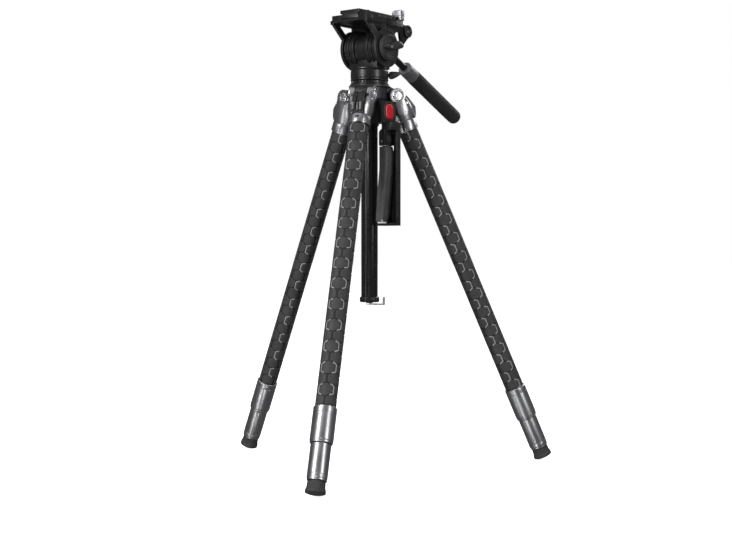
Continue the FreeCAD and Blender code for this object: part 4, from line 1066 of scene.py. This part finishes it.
def handle_foam():
    """Foam grip with fine ribs along it and a domed end."""
    low, high = extent("pan_handle_grip", HANDLE)
    radius, start, end = high.x, low.z, high.z

    def ribs(point, angle):
        return -0.16 * (0.5 + 0.5 * math.cos(72 * angle)) if point.x > radius - 0.4 else 0.0

    corners = [(6.1, start), (radius - 0.9, start), (radius - 0.1, start + 0.9), (radius, start + 2)]
    corners += [(radius, start + 2 + 10 * step) for step in range(1, 13)]
    corners += [(radius - 0.3, end - 7.0, 1.5), (radius - 2.2, end - 2.8, 2.5),
                (radius - 6.5, end - 0.5, 2.5), (0, end)]
    grip = lathe_piece("handle_foam_grip", corners, HANDLE, "handle", "foam", ("pan_handle_grip",),
                       0.4, 288, ribs)


handle_ring()
handle_foam()


# ---- Camera, light and floor ----

SENSOR = 36
LENS = 69.228
CAMERA_PLACE = (0.5710, -2.1646, 0.3429)
CAMERA_TURN = 14.92
SHIFT_Y = -0.0333
FLOOR_REACH = 30.0
FLOOR_GLOW = 0.85
SURROUNDINGS = 0.16
SUN_STRENGTH = 0.9


def add_camera():
    """Level camera at the front, a little to the right of the front leg."""
    data = bpy.data.cameras.new("camera")
    data.sensor_width = SENSOR
    data.lens = LENS
    data.shift_y = SHIFT_Y
    data.clip_start, data.clip_end = 0.05, 50
    camera = bpy.data.objects.new("camera", data)
    camera.location = CAMERA_PLACE
    camera.rotation_euler = (math.pi / 2, 0, math.radians(CAMERA_TURN))
    bpy.context.scene.collection.objects.link(camera)
    bpy.context.scene.camera = camera
    return camera


def area_light(name, place, target, width, height, power):
    """A soft box aimed at a point."""
    data = bpy.data.lights.new(name, "AREA")
    data.shape = "RECTANGLE"
    data.size, data.size_y, data.energy = width, height, power
    lamp = bpy.data.objects.new(name, data)
    lamp.location = place
    aim = Vector(target) - Vector(place)
    lamp.rotation_euler = aim.to_track_quat("-Z", "Y").to_euler()
    bpy.context.scene.collection.objects.link(lamp)


def add_floor():
    """A plain pale floor that shows white, left out of reflections, bounce light and shadows."""
    mesh = bpy.data.meshes.new("floor")
    reach = FLOOR_REACH
    mesh.from_pydata([(-reach, -reach, 0), (reach, -reach, 0), (reach, reach, 0), (-reach, reach, 0)],
                     [], [(0, 1, 2, 3)])
    floor = bpy.data.objects.new("floor", mesh)
    material = bpy.data.materials.new("floor_white")
    material.use_nodes = True
    principled = material.node_tree.nodes["Principled BSDF"]
    principled.inputs["Base Color"].default_value = (0.93, 0.93, 0.93, 1)
    principled.inputs["Roughness"].default_value = 0.9
    principled.inputs["Specular IOR Level"].default_value = 0.1
    principled.inputs["Emission Color"].default_value = (1, 1, 1, 1)
    principled.inputs["Emission Strength"].default_value = FLOOR_GLOW
    mesh.materials.append(material)
    bpy.context.scene.collection.objects.link(floor)
    floor.visible_glossy = False
    floor.visible_diffuse = False
    floor.visible_shadow = False


def light_scene():
    """White surroundings that light softly, a soft sun and five soft boxes, two of them low."""
    scene = bpy.context.scene
    scene.view_settings.view_transform = "Standard"
    world = bpy.data.worlds.new("studio")
    scene.world = world
    world.use_nodes = True
    tree = world.node_tree
    tree.nodes.clear()
    output = tree.nodes.new("ShaderNodeOutputWorld")
    mix = tree.nodes.new("ShaderNodeMixShader")
    path = tree.nodes.new("ShaderNodeLightPath")
    seen = tree.nodes.new("ShaderNodeBackground")
    lit = tree.nodes.new("ShaderNodeBackground")
    seen.inputs["Color"].default_value = (1, 1, 1, 1)
    seen.inputs["Strength"].default_value = 1.0
    lit.inputs["Color"].default_value = (1, 1, 1, 1)
    lit.inputs["Strength"].default_value = SURROUNDINGS
    tree.links.new(path.outputs["Is Camera Ray"], mix.inputs["Fac"])
    tree.links.new(lit.outputs["Background"], mix.inputs[1])
    tree.links.new(seen.outputs["Background"], mix.inputs[2])
    tree.links.new(mix.outputs["Shader"], output.inputs["Surface"])
    sun = bpy.data.lights.new("sun", "SUN")
    sun.energy, sun.angle = SUN_STRENGTH, math.radians(80)
    lamp = bpy.data.objects.new("sun", sun)
    lamp.rotation_euler = (math.radians(12), math.radians(-10), 0)
    scene.collection.objects.link(lamp)
    area_light("key", (-1.1, -1.9, 1.3), (0, 0, 0.5), 0.5, 1.6, 44)
    area_light("fill", (1.9, -1.0, 0.9), (0, 0, 0.45), 0.4, 1.6, 22)
    area_light("rim", (0.9, 1.6, 1.5), (0, 0, 0.6), 0.8, 0.8, 16)
    area_light("low_left", (-0.82, -1.14, -0.42), (-0.24, 0.14, 0.1), 0.16, 1.0, 5)
    area_light("low_right", (0.05, -1.25, -0.44), (0.24, 0.14, 0.1), 0.16, 1.0, 5)


add_camera()
add_floor()
light_scene()


# ---- Finishes of the CAD nodes that stay ----

EDGE_ROUNDING = 0.00035
FINISH_OF_NODE = {"squeeze_lever": "lever_finish"}


def dress_nodes():
    """Give each CAD node its slot's finish and a small rounding of its edges."""
    for entry in frame["record"]["subparts"]:
        node = NODES[entry["node"]]
        node.data.materials.clear()
        finish = FINISH_OF_NODE.get(entry["node"], entry["material_slot"])
        node.data.materials.append(MATERIALS[finish])
        node.data.shade_smooth()
        weld = node.modifiers.new("Weld", "WELD")
        weld.merge_threshold = 0.00001
        bevel = node.modifiers.new("Bevel", "BEVEL")
        bevel.width, bevel.segments = EDGE_ROUNDING, 3
        bevel.limit_method, bevel.angle_limit = "ANGLE", math.radians(32)
        bevel.harden_normals = True


dress_nodes()
